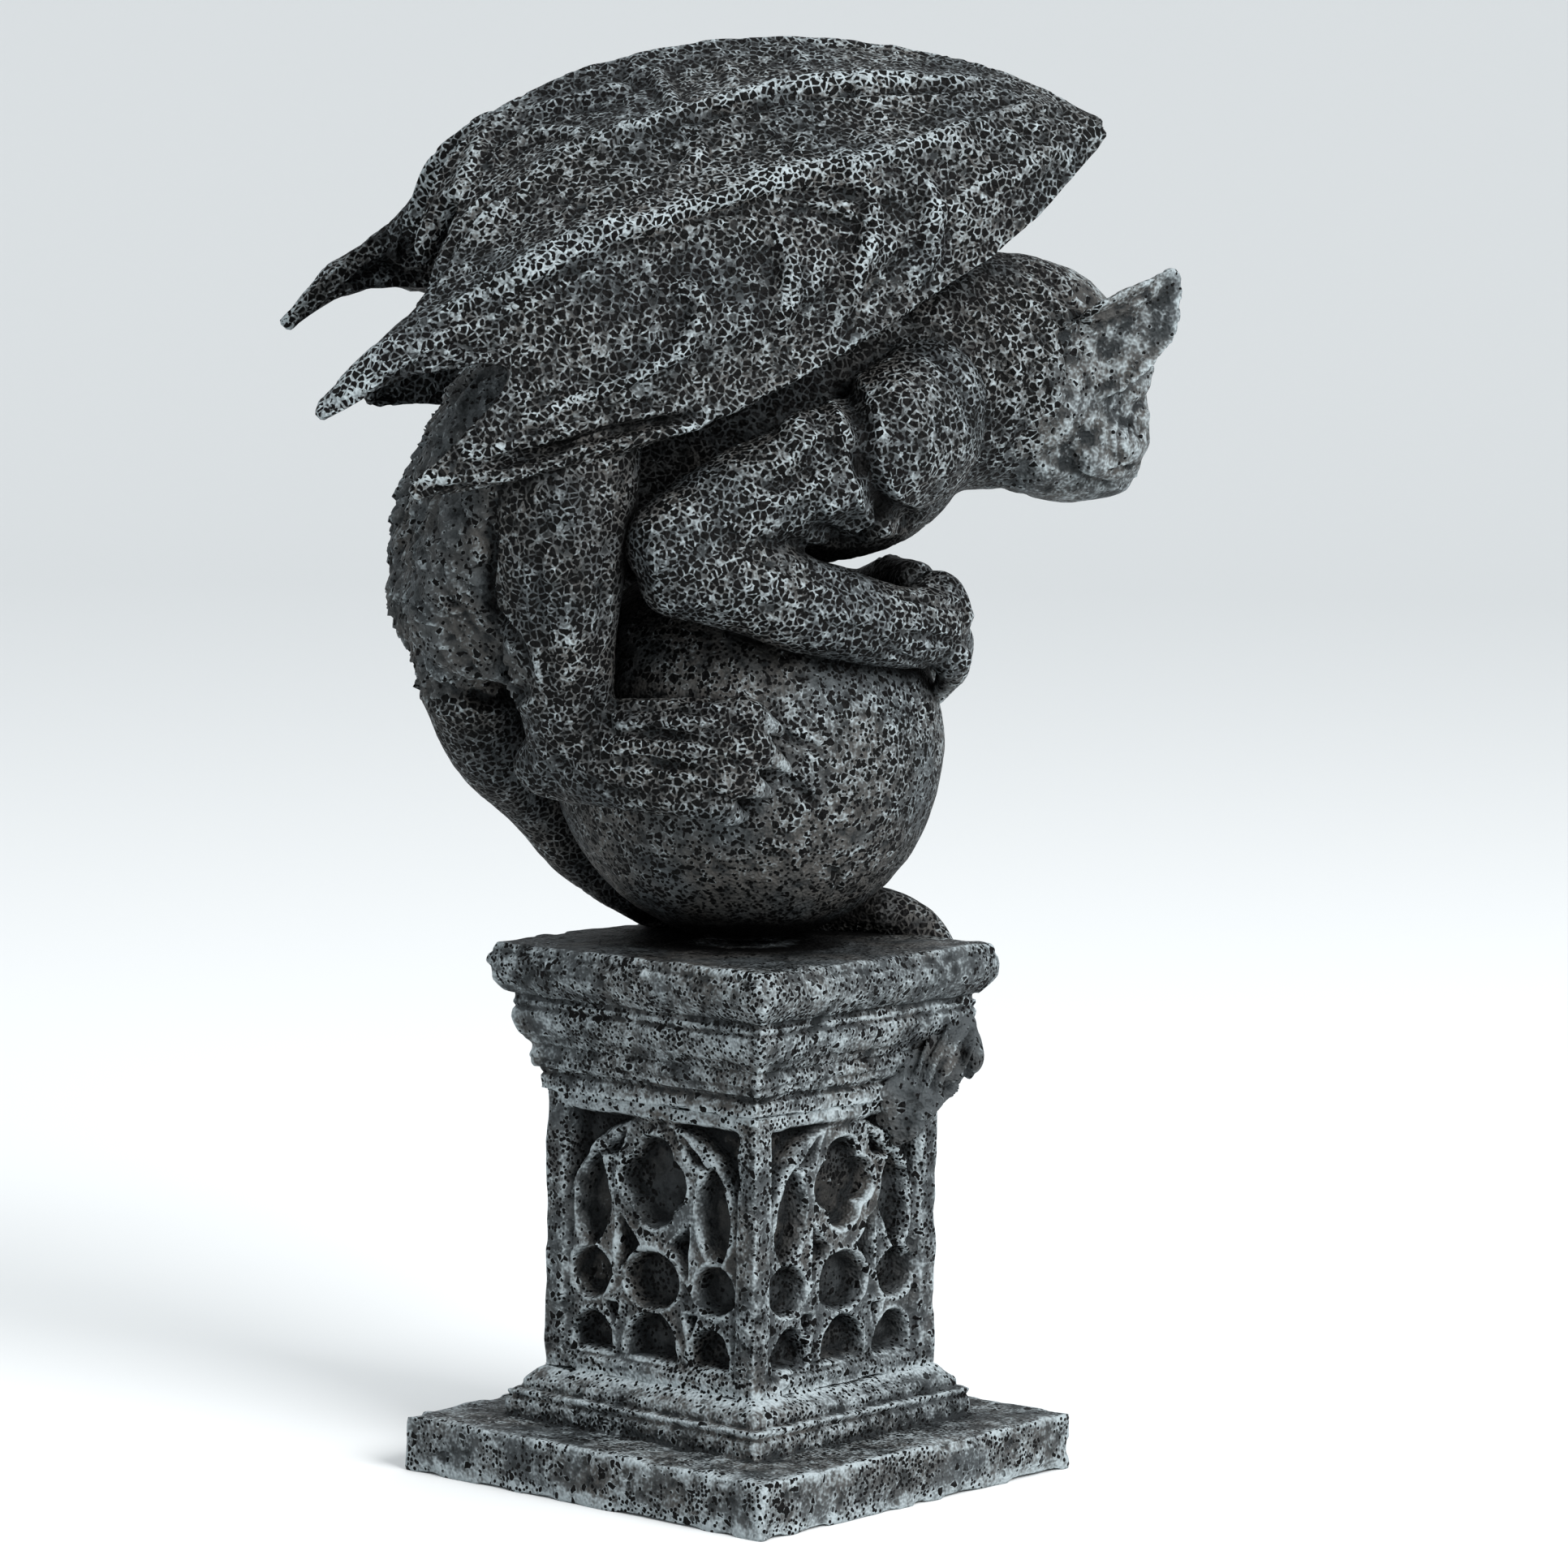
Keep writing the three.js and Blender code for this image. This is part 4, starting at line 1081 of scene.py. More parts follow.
@dataclass
class Wing:
    """One wing: skin stretched between five ribs that fan back from the wrist."""

    side: float
    lift: float = 0.0
    thick: float = 2.6
    wrist: tuple[float, float, float] = (50, 14, 91.6)
    ribs: tuple[tuple[tuple[float, float, float], ...], ...] = (
        (
            (36, 4, 97.5), (18, -1.6, 101.3), (0, -1.6, 102.3), (-19, -1.6, 99.4), (-34, 0, 93.6),
            (-45, 4, 85), (-50, 9, 70),
        ),
        (
            (38, 13.4, 94), (13, 13.4, 96.5), (-8, 14.5, 93.5), (-28, 16.5, 87.5), (-40, 19.5, 78.5),
            (-48, 22, 69), (-52, 24, 60),
        ),
        (
            (34, 19, 90.4), (9, 26, 85.7), (-14, 29.5, 80), (-36, 32, 72), (-49, 32, 62.5), (-60, 31, 57),
            (-69, 30, 48),
        ),
        (
            (36, 20.5, 86), (15, 28.5, 75.5), (-8, 32.5, 64.5), (-27, 34, 55), (-40, 33.6, 48.5),
            (-49, 32.6, 43), (-56, 31, 39.6),
        ),
        (
            (40, 18, 81.6), (28, 22, 71.8), (13, 28, 62.2), (-10, 32.2, 50.2), (-26, 33.6, 44.4),
            (-42, 33, 40.4), (-55, 31, 38),
        ),
    )
    sink: tuple[float, ...] = (1.6, 2.2, 2.2, 1.2)
    cut: tuple[float, ...] = (0.16, 0.14, 0.3, 0.05)
    rows: int = 214
    columns: int = 146
    calm: float = 0.6

    @property
    def folds(self) -> tuple[Stroke, ...]:
        """Ribs, creases and hanging folds, as the near wing shows them."""
        return (
            Stroke(
                (
                    (1350, 140), (1300, 118), (1240, 106), (1160, 98), (1080, 92), (1000, 98), (930, 112),
                    (860, 132), (790, 152), (740, 170), (705, 185),
                ),
                1.25, 0.9, 0.2,
            ),
            Stroke(
                ((1220, 104), (1150, 108), (1060, 112), (1000, 118), (940, 130), (870, 142), (820, 152)),
                1.0, -0.9, 0.2,
            ),
            Stroke(((1078, 98), (1065, 103), (1052, 104)), 1.7, 1.0),
            Stroke(((728, 176), (717, 182), (706, 190)), 1.6, -0.9),
            Stroke(
                (
                    (1350, 148), (1300, 133), (1250, 137), (1200, 152), (1150, 170), (1100, 188), (1050, 198),
                    (1000, 205), (950, 218), (900, 240), (850, 252), (800, 272), (740, 282), (700, 300),
                    (680, 315), (640, 335), (600, 350), (570, 375), (540, 385), (500, 398),
                ),
                1.2, 1.0, 0.25,
            ),
            Stroke(((640, 336), (668, 318), (690, 308)), 2.0, 0.9),
            Stroke(((1056, 194), (1045, 199), (1034, 202)), 1.7, 0.9),
            Stroke(((1222, 208), (1227, 214), (1230, 222)), 1.6, 1.0),
            Stroke(((1218, 224), (1224, 232), (1226, 240)), 1.5, -0.9),
            Stroke(
                ((1100, 250), (1050, 240), (1000, 240), (950, 245), (900, 255), (850, 270)),
                0.9, -0.8, 0.4,
            ),
            Stroke(
                ((1080, 285), (1050, 275), (1000, 262), (950, 258), (900, 262), (850, 272)),
                0.9, -0.6, 0.5,
            ),
            Stroke(
                ((830, 295), (780, 300), (720, 325), (660, 355), (600, 380), (560, 395), (500, 410)),
                0.9, -0.8, 0.4,
            ),
            Stroke(((640, 225), (600, 250), (560, 300), (540, 340), (510, 380), (490, 398)), 1.3, -1.1, 0.4),
            Stroke(((620, 140), (600, 165), (575, 210), (550, 260), (530, 290), (495, 325)), 1.5, 1.1),
            Stroke(
                ((1110, 200), (1140, 230), (1152, 270), (1148, 310), (1125, 340), (1095, 360)),
                1.6, 1.1, 0.3,
            ),
            Stroke(((1112, 240), (1122, 280), (1112, 315), (1090, 340)), 2.0, -1.0),
            Stroke(
                ((1050, 215), (1075, 250), (1072, 300), (1060, 340), (1040, 380), (1010, 410)),
                1.5, 1.0, 0.3,
            ),
            Stroke(((1030, 262), (1034, 300), (1026, 345), (1006, 392)), 2.0, -1.0),
            Stroke(((950, 265), (968, 300), (975, 340), (970, 380), (955, 405)), 1.5, 1.0, 0.3),
            Stroke(((926, 300), (944, 330), (946, 360), (928, 392)), 1.7, -1.0),
            Stroke(((800, 350), (850, 356), (864, 385), (848, 420), (832, 440)), 1.5, 1.0, 0.3),
            Stroke(((800, 425), (760, 452), (715, 480), (660, 505)), 2.2, -1.1),
            Stroke(((860, 420), (800, 455), (740, 480), (690, 500), (640, 515)), 1.0, 0.8, 0.4),
            Stroke(((850, 500), (780, 510), (700, 530), (620, 550), (560, 560)), 0.9, 0.8, 0.5),
            Stroke(((870, 512), (800, 523), (720, 543), (640, 566), (570, 576)), 0.8, -0.8, 0.4),
            Stroke(((880, 520), (800, 535), (720, 555), (640, 580), (560, 590), (505, 590)), 0.9, 0.8, 0.5),
            Stroke(((560, 445), (600, 445), (618, 470), (600, 500), (570, 515), (555, 545)), 1.0, 1.0, 0.4),
            Stroke(((575, 462), (592, 470), (588, 492), (566, 506)), 1.3, -1.0),
            Stroke(((808, 85), (818, 110), (835, 132)), 1.3, 0.9, 0.3),
            Stroke(((650, 140), (720, 118), (780, 105)), 1.4, 0.9, 0.3),
            Stroke(((720, 160), (660, 165), (600, 200)), 1.4, 0.9, 0.3),
            Stroke(((760, 86), (775, 96), (788, 112)), 1.4, -0.9),
            Stroke(((700, 134), (740, 130), (770, 124)), 1.3, -0.8),
            Stroke(((880, 70), (900, 88), (905, 108)), 1.3, 0.8, 0.3),
            Stroke(((960, 60), (985, 72), (990, 88)), 1.3, 0.8, 0.3),
            Stroke(((1195, 150), (1215, 175), (1240, 180)), 1.2, -0.7, 0.3),
            Stroke(((1160, 165), (1190, 185), (1210, 195)), 1.0, 0.6),
            Stroke(((1240, 150), (1270, 165), (1296, 172)), 1.0, -0.5, 0.4),
            Stroke(((735, 230), (710, 250), (698, 265)), 1.0, 0.9, 0.3),
            Stroke(((860, 165), (855, 195), (835, 215), (760, 235), (720, 250)), 1.4, 0.8, 0.4),
            Stroke(((1000, 160), (990, 175), (985, 190)), 1.3, 0.7, 0.3),
            Stroke(((1155, 375), (1178, 380), (1200, 390)), 0.5, -0.5),
            Stroke(((560, 400), (520, 430), (470, 460), (420, 500)), 1.0, 0.7, 0.4),
            Stroke(((580, 412), (530, 440), (480, 470), (440, 496)), 1.0, -0.6, 0.3),
        )

    def outer(self) -> Array:
        """The outer face as rows from the wrist to the rear edge, in the figure's frame."""
        lines = [np.array([self.wrist, *rib], float) for rib in self.ribs]
        webs = len(lines) - 1
        column = np.linspace(0, webs, self.columns)
        web = np.minimum(np.floor(column).astype(int), webs - 1)
        share = column - web
        bow = 4 * share * (1 - share)
        t0 = np.linspace(0.012, 1.0, self.rows)
        sink, cut = np.array(self.sink)[web], np.array(self.cut)[web]
        grid = np.zeros((self.rows, self.columns, 3))
        for j in range(self.columns):
            t = t0 * (1 - cut[j] * bow[j] * t0**2)
            a, _ = curve(lines[web[j]], t)
            b, _ = curve(lines[web[j] + 1], t)
            p = a + (b - a) * share[j]
            inward = unit(np.array([-6.0, 6.0, 60.0]) - p)
            grid[:, j] = p + inward * (self.calm * sink[j] * bow[j] * np.minimum(1, 3 * t))[:, None]
        flat = grid.reshape(-1, 3)
        flat = flat + wing_rise(flat, self.lift)
        flat[:, 1] *= self.side
        return flat.reshape(grid.shape)

    def skin(self) -> Skin:
        """The wing as a closed skin in the row frame."""
        outer = self.outer()
        rows, columns = outer.shape[:2]
        along = np.gradient(outer, axis=0)
        across = np.gradient(outer, axis=1)
        normal = unit(np.cross(along, across)) * self.side
        share = np.linspace(0, 1, rows)[:, None, None]
        inner = outer - normal * self.thick * (0.35 + 0.65 * np.minimum(1, 6 * share))
        ring = np.concatenate([outer, inner[:, ::-1]], axis=1)
        count = ring.shape[1]
        points = np.vstack([ring.reshape(-1, 3), np.mean(ring[0], axis=0)])
        k = np.arange(columns - 1)
        last = (rows - 1) * count
        strip = np.stack([last + k, last + k + 1, last + count - 2 - k, last + count - 1 - k], axis=-1)
        i = np.arange(count)
        tip = np.stack([np.full(count, len(points) - 1), (i + 1) % count, i, i], axis=-1)
        quads = np.vstack([ring_quads(rows, count), strip, tip])
        if self.side > 0:
            quads = quads[:, ::-1]
            spare = quads[:, 0] == quads[:, 1]
            quads[spare] = np.roll(quads[spare], -1, axis=1)
        skin = Skin(to_world(points), quads)
        middle = skin.points.mean(axis=0)
        out = ((skin.points - middle) * skin.normals()).sum(axis=1).mean()
        if out < 0:
            triangle = (skin.quads[:, 2] == skin.quads[:, 3])[:, None]
            skin.quads = np.where(triangle, skin.quads[:, [0, 2, 1, 1]], skin.quads[:, ::-1])
        skin.smooth(6)
        return skin


@dataclass
class Globe:
    """The globe that the figure crouches on."""

    radius: float = GLOBE_RADIUS
    parts: int = 88

    @property
    def folds(self) -> tuple[Stroke, ...]:
        """Cracks, and scratches of the claws."""
        return (
            Stroke(((1118, 838), (1128, 860), (1140, 902)), 0.6, -0.8, 0.4),
            Stroke(((1134, 846), (1142, 870), (1150, 892)), 0.5, -0.6, 0.4),
            Stroke(((1022, 1068), (1034, 1082), (1030, 1102)), 0.6, -0.7, 0.4),
            Stroke(((872, 1052), (884, 1064), (896, 1070)), 0.5, -0.6, 0.4),
            Stroke(((960, 904), (985, 914), (1014, 930)), 0.8, -0.9, 0.5),
            Stroke(((962, 958), (985, 974), (1006, 992)), 0.9, -1.0, 0.5),
        )

    def texture(self, skin: Skin) -> None:
        """Cracks, pores that thin out to smooth patches, and painted light that makes the top paler."""
        weather(skin, 0.16, 11)
        skin.carve(self.folds)
        p = skin.points
        skin.layers["pits"] = 0.42 + 0.3 * waves(p, 9.0, 5) + 0.1 * to_figure(p)[:, 0] / self.radius
        skin.layers["pores"] = np.full(len(p), 0.6)
        # Painted light: paler brushing towards the globe's top.
        skin.layers["dry_brush_and_painted_light"] = 0.65 + 0.5 * ease(-20, 15, p[:, 2] - GLOBE_MIDDLE)

    def skin(self) -> Skin:
        """A sphere of even squares."""
        n = self.parts
        w = np.tan(np.linspace(-math.pi / 4, math.pi / 4, n + 1))
        u, v = np.meshgrid(w, w, indexing="ij")
        one = np.ones_like(u)
        sides = [(u, v, one), (v, u, -one), (one, u, v), (-one, v, u), (v, one, u), (u, -one, v)]
        points, quads = [], []
        i, j = np.meshgrid(np.arange(n), np.arange(n), indexing="ij")
        low, high = i * (n + 1) + j, (i + 1) * (n + 1) + j
        face = np.stack([low, high, high + 1, low + 1], axis=-1)
        for k, side in enumerate(sides):
            points.append(unit(np.stack(side, axis=-1).reshape(-1, 3)))
            quads.append(face.reshape(-1, 4) + k * (n + 1) ** 2)
        points, quads = np.vstack(points), np.vstack(quads)
        places = np.round(points * 1e5).astype(int)
        _, first, back = np.unique(places, axis=0, return_index=True, return_inverse=True)
        points, quads = points[first], back.reshape(-1)[quads]
        a, b, c = (points[quads[:, k]] for k in range(3))
        inward = (np.cross(b - a, c - a) * a).sum(axis=1) < 0
        quads[inward] = quads[inward, ::-1]
        return Skin(points * self.radius + (0, 0, GLOBE_MIDDLE), quads)


@dataclass
class Tracery:
    """The window in each face of the shaft, measured from the face's middle line and foot."""

    half: float = 17.0
    foot: float = 2.2
    tall: float = 37.0
    spring: float = 21.86
    panel_sink: float = 0.9
    depth: float = 3.0

    def inside(self, x: Array, y: Array) -> Array:
        """How far inside an opening a point is, in half widths from the middle of the arch's springing."""
        ax = np.abs(x)

        def disc(cx: float, cy: float, rx: float, ry: float) -> Array:
            """Inside of an ellipse."""
            return (1 - np.hypot((ax - cx) / rx, (y - cy) / ry)) * min(rx, ry)

        def corners(*points: tuple[float, float]) -> Array:
            """Inside of a triangle given anticlockwise."""
            best = np.full(x.shape, 9.0)
            for (x0, y0), (x1, y1) in zip(points, (*points[1:], points[0])):
                long = math.hypot(x1 - x0, y1 - y0)
                best = np.minimum(best, ((x1 - x0) * (y - y0) - (y1 - y0) * (ax - x0)) / long)
            return best

        foil = [disc(0, 0.46 + 0.19, 0.2, 0.2), disc(0, 0.46 - 0.19, 0.2, 0.2), disc(0.19, 0.46, 0.19, 0.19)]
        lean = 0.1 * (y - 0.22)
        almond = [0.62 - np.hypot(ax + lean - 0.70 + off, y - 0.22) for off in (0.44, -0.44)]
        light = np.minimum(*almond)
        spandrel = np.min([np.hypot(x, y) - 1.02, 0.97 - ax, 1.0 - y, y - 0.3], axis=0)
        head_side = np.minimum(disc(0.68, -1.02, 0.22, 0.26), y + 1.08)
        head_mid = np.minimum(disc(0.0, -0.98, 0.28, 0.27), y + 1.08)
        shapes = [
            *foil,
            light,
            spandrel,
            disc(0.72, -0.41, 0.22, 0.21),
            disc(0.0, -0.40, 0.3, 0.245),
            head_side,
            head_mid,
            corners((0.33, 0.88), (0.42, 0.66), (0.62, 0.64)),
            corners((0.19, -0.1), (0.40, -0.33), (0.40, 0.12)),
            corners((0.40, -0.66), (0.45, -0.84), (0.52, -0.66)),
        ]
        return np.max(shapes, axis=0)

    def sunk(self, x: Array, z: Array) -> Array:
        """Depth of the surface below the face."""
        half, spring = self.half, self.spring
        inside = self.inside(x / half, (z - spring) / half) * half
        panel = np.minimum(np.minimum(half - np.abs(x), z - self.foot), self.foot + self.tall - z)
        depth = self.panel_sink * ease(-0.2, 0.5, panel) + self.depth * ease(-0.25, 0.45, inside)
        depth += 0.3 * np.exp(-(((panel - 1.1) / 0.3) ** 2)) * (inside < -0.3)
        bar = np.exp(-(((inside + 0.55) / 0.32) ** 2)) * (panel > 0.6)
        return depth - 0.45 * bar


class Course(Enum):
    """Part of the plinth."""

    BASE = "plinth_base"
    SHAFT = "plinth_shaft"
    CAP = "plinth_cap"


@dataclass
class Plinth:
    """Square courses from the base plate to the cap, as rings through a profile of half side and height."""

    worn: float = 0.4
    lines: tuple[float, ...] = (78.5, 70.2, 65.6, 62.1, 60.2, 15.0, 11.4)
    chips: tuple[tuple[float, ...], ...] = (
        (27.6, -27.6, 76.2, 2.6, 1.3),
        (26.2, -26.2, 79.6, 2.0, 1.0),
        (-27.2, -27.4, 75.5, 1.8, 0.8),
        (24.6, -12.0, 70.6, 2.2, 0.9),
        (-35.2, -33.0, 7.6, 2.2, 0.8),
        (-27.6, -35.4, 3.0, 1.6, 0.9),
        (35.3, -35.3, 8.2, 1.6, 0.7),
        (35.4, 6.0, 8.2, 1.8, 0.6),
        (20.7, -20.7, 44.0, 1.6, 0.6),
        (20.6, -20.6, 27.0, 1.8, 0.6),
        (-8.0, 35.4, 8.3, 2.2, 0.8),
        (-27.4, 10.0, 77.0, 2.4, 0.9),
    )
    tracery: Tracery = field(default_factory=Tracery)

    def roll(
        self, start: float, end: float, low: float, high: float, bulge: float
    ) -> list[tuple[float, float]]:
        """Profile of a rounded moulding."""
        share = np.linspace(0, 1, 13)
        half = start + (end - start) * share + bulge * np.sin(np.pi * share)
        return list(zip(half, low + (high - low) * share))

    def profile(self, course: Course) -> list[tuple[float, float]]:
        """The course's profile from its foot up."""
        if course is Course.BASE:
            foot = self.roll(23.3, 20.8, STEP_TOP, SHAFT_FOOT, 1.03)
            return [
                (34.0, 0),
                (35.5, 0),
                (35.5, 8.4),
                (24.9, 8.4),
                (24.9, STEP_TOP),
                *foot,
                (20.2, SHAFT_FOOT + 0.02),
            ]
        if course is Course.SHAFT:
            return [(20.8, SHAFT_FOOT - 0.7), (20.8, SHAFT_TOP + 0.5)]
        bead = self.roll(22.3, 22.5, BAND_TOP, BEAD_TOP, 0.5)
        ovolo = self.roll(22.8, 24.7, BEAD_TOP, OVOLO_TOP, 0.76)
        roll = self.roll(25.1, 26.3, NECK_TOP, CAP_TOP, 1.7)
        return [
            (20.2, SHAFT_TOP),
            (21.6, SHAFT_TOP),
            (21.6, BAND_TOP),
            *bead,
            *ovolo,
            (24.3, OVOLO_TOP),
            (24.3, NECK_TOP),
            *roll,
            (0.4, CAP_TOP),
        ]

    def skin(self, course: Course, step: float, across: int) -> Skin:
        """One course of the plinth.

        Args:
            course: which one.
            step: spacing of the rings along the profile.
            across: points along each side.

        Returns:
            The skin.
        """
        corners = np.array(self.profile(course), float)
        path = []
        for a, b in zip(corners[:-1], corners[1:]):
            parts = max(1, round(float(np.linalg.norm(b - a)) / step))
            path += [a + (b - a) * k / parts for k in range(parts)]
        path.append(corners[-1])
        edge = np.linspace(-1, 1, across, endpoint=False)
        one = np.ones(across)
        sides = ((edge, -one), (one, edge), (-edge, one), (-one, -edge))
        square = np.vstack([np.column_stack(side) for side in sides])
        rings = []
        for half, z in path:
            p = square * half
            inner = max(half - self.worn, 0.0)
            over = np.maximum(np.abs(p) - inner, 0)
            far = np.linalg.norm(over, axis=1)
            corner = (over > 0).all(axis=1) & (far > self.worn)
            tight = np.where(corner, self.worn / np.maximum(far, 1e-9), 1.0)
            p = np.sign(p) * (np.minimum(np.abs(p), inner) + over * tight[:, None])
            rings.append(np.column_stack([p, np.full(len(p), z)]))
        count, total = 4 * across, len(rings)
        points = np.vstack([*rings, (0, 0, path[0][1]), (0, 0, path[-1][1])])
        i = np.arange(count)
        j = (i + 1) % count
        foot = np.stack([np.full(count, len(points) - 2), j, i, i], axis=-1)
        top = (total - 1) * count
        lid = np.stack([np.full(count, len(points) - 1), top + i, top + j, top + j], axis=-1)
        skin = Skin(points, np.vstack([ring_quads(total, count), foot, lid]))
        if course is Course.SHAFT:
            plain = skin.points.copy()
            self.pierce(skin)
            deep = np.linalg.norm(skin.points - plain, axis=1)
            # Painted shade: the windows' deeper recesses are painted darker, and the whole shaft a little less
            # pale.
            skin.layers["painted_shade_free"] = 0.95 - 0.5 * ease(0.3, 3.4, deep)
        skin.points = skin.blurred(skin.points, 1, 0.5)
        return skin

    def wear(self, skin: Skin, course: Course) -> None:
        """Rubbed edges, chips and cracks.

        Args:
            skin: the course's skin.
            course: which one it is; not used.
        """
        p = skin.points
        height = 0.16 * waves(p, 5.0, 51) + 0.12 * waves(p, 2.0, 52)
        flat = skin.blurred(p, 14)
        edge = np.clip(((p - flat) * skin.normals()).sum(axis=1) / 0.25, 0, 1)
        height -= 0.45 * edge * ease(-0.2, 0.6, waves(p, 3.2, 53))
        cracks = ease(0.035, 0.0, np.abs(waves(p + 0.8 * waves(p, 1.5, 54)[:, None], 11.0, 55)))
        height -= 0.4 * cracks * ease(0.15, 0.5, waves(p, 14.0, 56))
        side = 1 - np.abs(skin.normals()[:, 2])
        for level in self.lines:
            height -= 0.5 * side * np.exp(-(((p[:, 2] + 0.15 * waves(p, 4.0, 61) - level) / 0.34) ** 2))
        for x, y, z, reach, depth in self.chips:
            far = np.linalg.norm(p - (x, y, z), axis=1) + 0.5 * waves(p, 1.6, 60)
            height -= depth * ease(reach, 0.3 * reach, far)
        skin.raise_by(height)
        # The underside stays level.
        skin.points[:, 2] = np.maximum(skin.points[:, 2], 0.0)
        skin.layers["pits"] = 0.12 + 0.2 * waves(p, 8.0, 57)
        skin.layers["pores"] = 0.50 + 0.75 * waves(p, 6.0, 58)
        skin.layers["dry_brush_and_painted_light"] = 1.1 + 0.4 * edge + 0.25 * waves(p, 4.0, 59)

    def pierce(self, skin: Skin) -> None:
        """Sinks the windows into the shaft's four faces."""
        for face in range(4):
            p = turned(skin.points, -face * math.pi / 2)
            on = (-p[:, 1] >= np.abs(p[:, 0]) - 1e-6) & (p[:, 1] < -20.0)
            sunk = self.tracery.sunk(p[on, 0], p[on, 2] - SHAFT_FOOT)
            p[on, 1] += sunk
            skin.points = turned(p, face * math.pi / 2)


@dataclass(frozen=True)
class CastStone:
    """Charcoal cast stone with sponge-like pores, brushed pale on what stands out. Colours are linear.

    The mesh's layers steer it: pits and pores are how many coarse and small pores there are, the brushing layer
    is how pale it is brushed, with painted shade in the ear's hollow and painted light on the globe's top, fine
    and broad tell how far the surface stands out, broad hollows also painting the ground darker as shade, and
    the last layer how little other forms hide it, which paints shade there. Scales are cells to the metre. The
    pale brushing starts and is full at the two numbers of dry.
    """

    dark: tuple[float, float, float] = (0.014, 0.016, 0.017)
    grey: tuple[float, float, float] = (0.048, 0.054, 0.057)
    warm: tuple[float, float, float] = (0.052, 0.050, 0.047)
    pale: tuple[float, float, float] = (0.28, 0.32, 0.335)
    # Near-black for the pores and for painted shade where other forms hide the surface.
    pore_and_shade_black: tuple[float, float, float] = (0.002, 0.002, 0.002)
    roughness: float = 0.6
    coarse_scale: float = 900.0
    small_scale: float = 1500.0
    shake: float = 0.0005
    wall_spans: tuple[tuple[float, float], ...] = ((0.03, 0.08), (0.13, 0.03))
    round_spans: tuple[tuple[float, float], ...] = ((0.44, 0.34), (0.62, 0.46))
    dry: tuple[float, float] = (2.5, 3.25)
    bump: float = 0.0006

    def material(self) -> bpy.types.Material:
        """The finish as a material.

        Returns:
            The material, whose patterns are fixed to the object.
        """
        made = bpy.data.materials.new("cast_stone")
        made.use_nodes = True
        tree = Tree(made)
        fine, broad, pits, pores, dry_brush_and_painted_light, painted_shade_free = (tree.layer(name) for name in USUAL)
        patch, grain, fleck = tree.noise(60.0, 2.0), tree.noise(420.0, 3.0), tree.noise(2100.0, 0.0)

        coarse, rim = self.holes(tree, pits, self.coarse_scale, True)
        small, small_rim = self.holes(tree, pores, self.small_scale, False)
        hole = tree.math("MAXIMUM", coarse, small)
        rims = tree.math("MAXIMUM", rim, tree.math("MULTIPLY", small_rim, 0.6))

        ground = tree.mixed(tree.span(patch, 0.40, 0.62), self.grey, self.warm)
        # Random grain, and painted shade where the broad relief sinks, both darken the ground.
        sunk = tree.math("ADD", grain, tree.math("MULTIPLY", broad, 0.14))
        ground = tree.mixed(tree.span(sunk, 0.28, 0.60), self.dark, ground)
        # Pale brushing where the surface stands out, held back where other forms hide it, which is painted
        # shade.
        raised_and_unshaded = tree.total(
            (fine, 0.065),
            (broad, 0.04),
            (grain, 1.3),
            (fleck, 0.7),
            (patch, 0.5),
            (rims, 0.19),
            (dry_brush_and_painted_light, 0.5),
            (painted_shade_free, 0.8),
        )
        # Painted shade: the ground turns near-black where other forms hide the surface.
        ground = tree.mixed(tree.span(painted_shade_free, 0.15, 0.8), self.pore_and_shade_black, ground)
        colour = tree.mixed(tree.span(raised_and_unshaded, *self.dry), ground, self.pale)
        # Pores are painted near-black, standing for the holes and the painted shade inside them.
        colour = tree.mixed(hole, colour, self.pore_and_shade_black)

        height = tree.total((grain, 1.0), (fleck, 0.5))
        bump = tree.node("ShaderNodeBump", Height=height, Strength=1.0, Distance=self.bump)
        tree.finish(colour, bump.outputs[0], self.roughness)
        return made

    def holes(
        self, tree: "Tree", share: bpy.types.NodeSocket, scale: float, walled: bool
    ) -> tuple[bpy.types.NodeSocket, bpy.types.NodeSocket]:
        """One size of pores.

        Args:
            tree: where the nodes go.
            share: how many of the cells are open, from 0 to 1.
            scale: cells to the metre.
            walled: whether the pores fill their cells but for thin walls, or else are small and round.

        Returns:
            Where a hole is, and the rim or the walls round it.
        """
        place = tree.shaken(self.shake) if walled else tree.place
        cell = tree.node("ShaderNodeTexVoronoi", Vector=place, Scale=scale)
        far = cell
        if walled:
            far = tree.node("ShaderNodeTexVoronoi", feature="DISTANCE_TO_EDGE", Vector=place, Scale=scale)
        chance = tree.node("ShaderNodeSeparateColor", Color=cell.outputs["Color"])
        is_open = tree.span(tree.math("SUBTRACT", share, chance.outputs[0]), -0.04, 0.04)
        shrink = tree.math("MULTIPLY", chance.outputs[1], 0.12)
        reach = tree.math("SUBTRACT", far.outputs["Distance"], shrink)
        hole, rim = self.wall_spans if walled else self.round_spans
        return (
            tree.math("MULTIPLY", tree.span(reach, *hole), is_open),
            tree.math("MULTIPLY", tree.span(reach, *rim), is_open),
        )


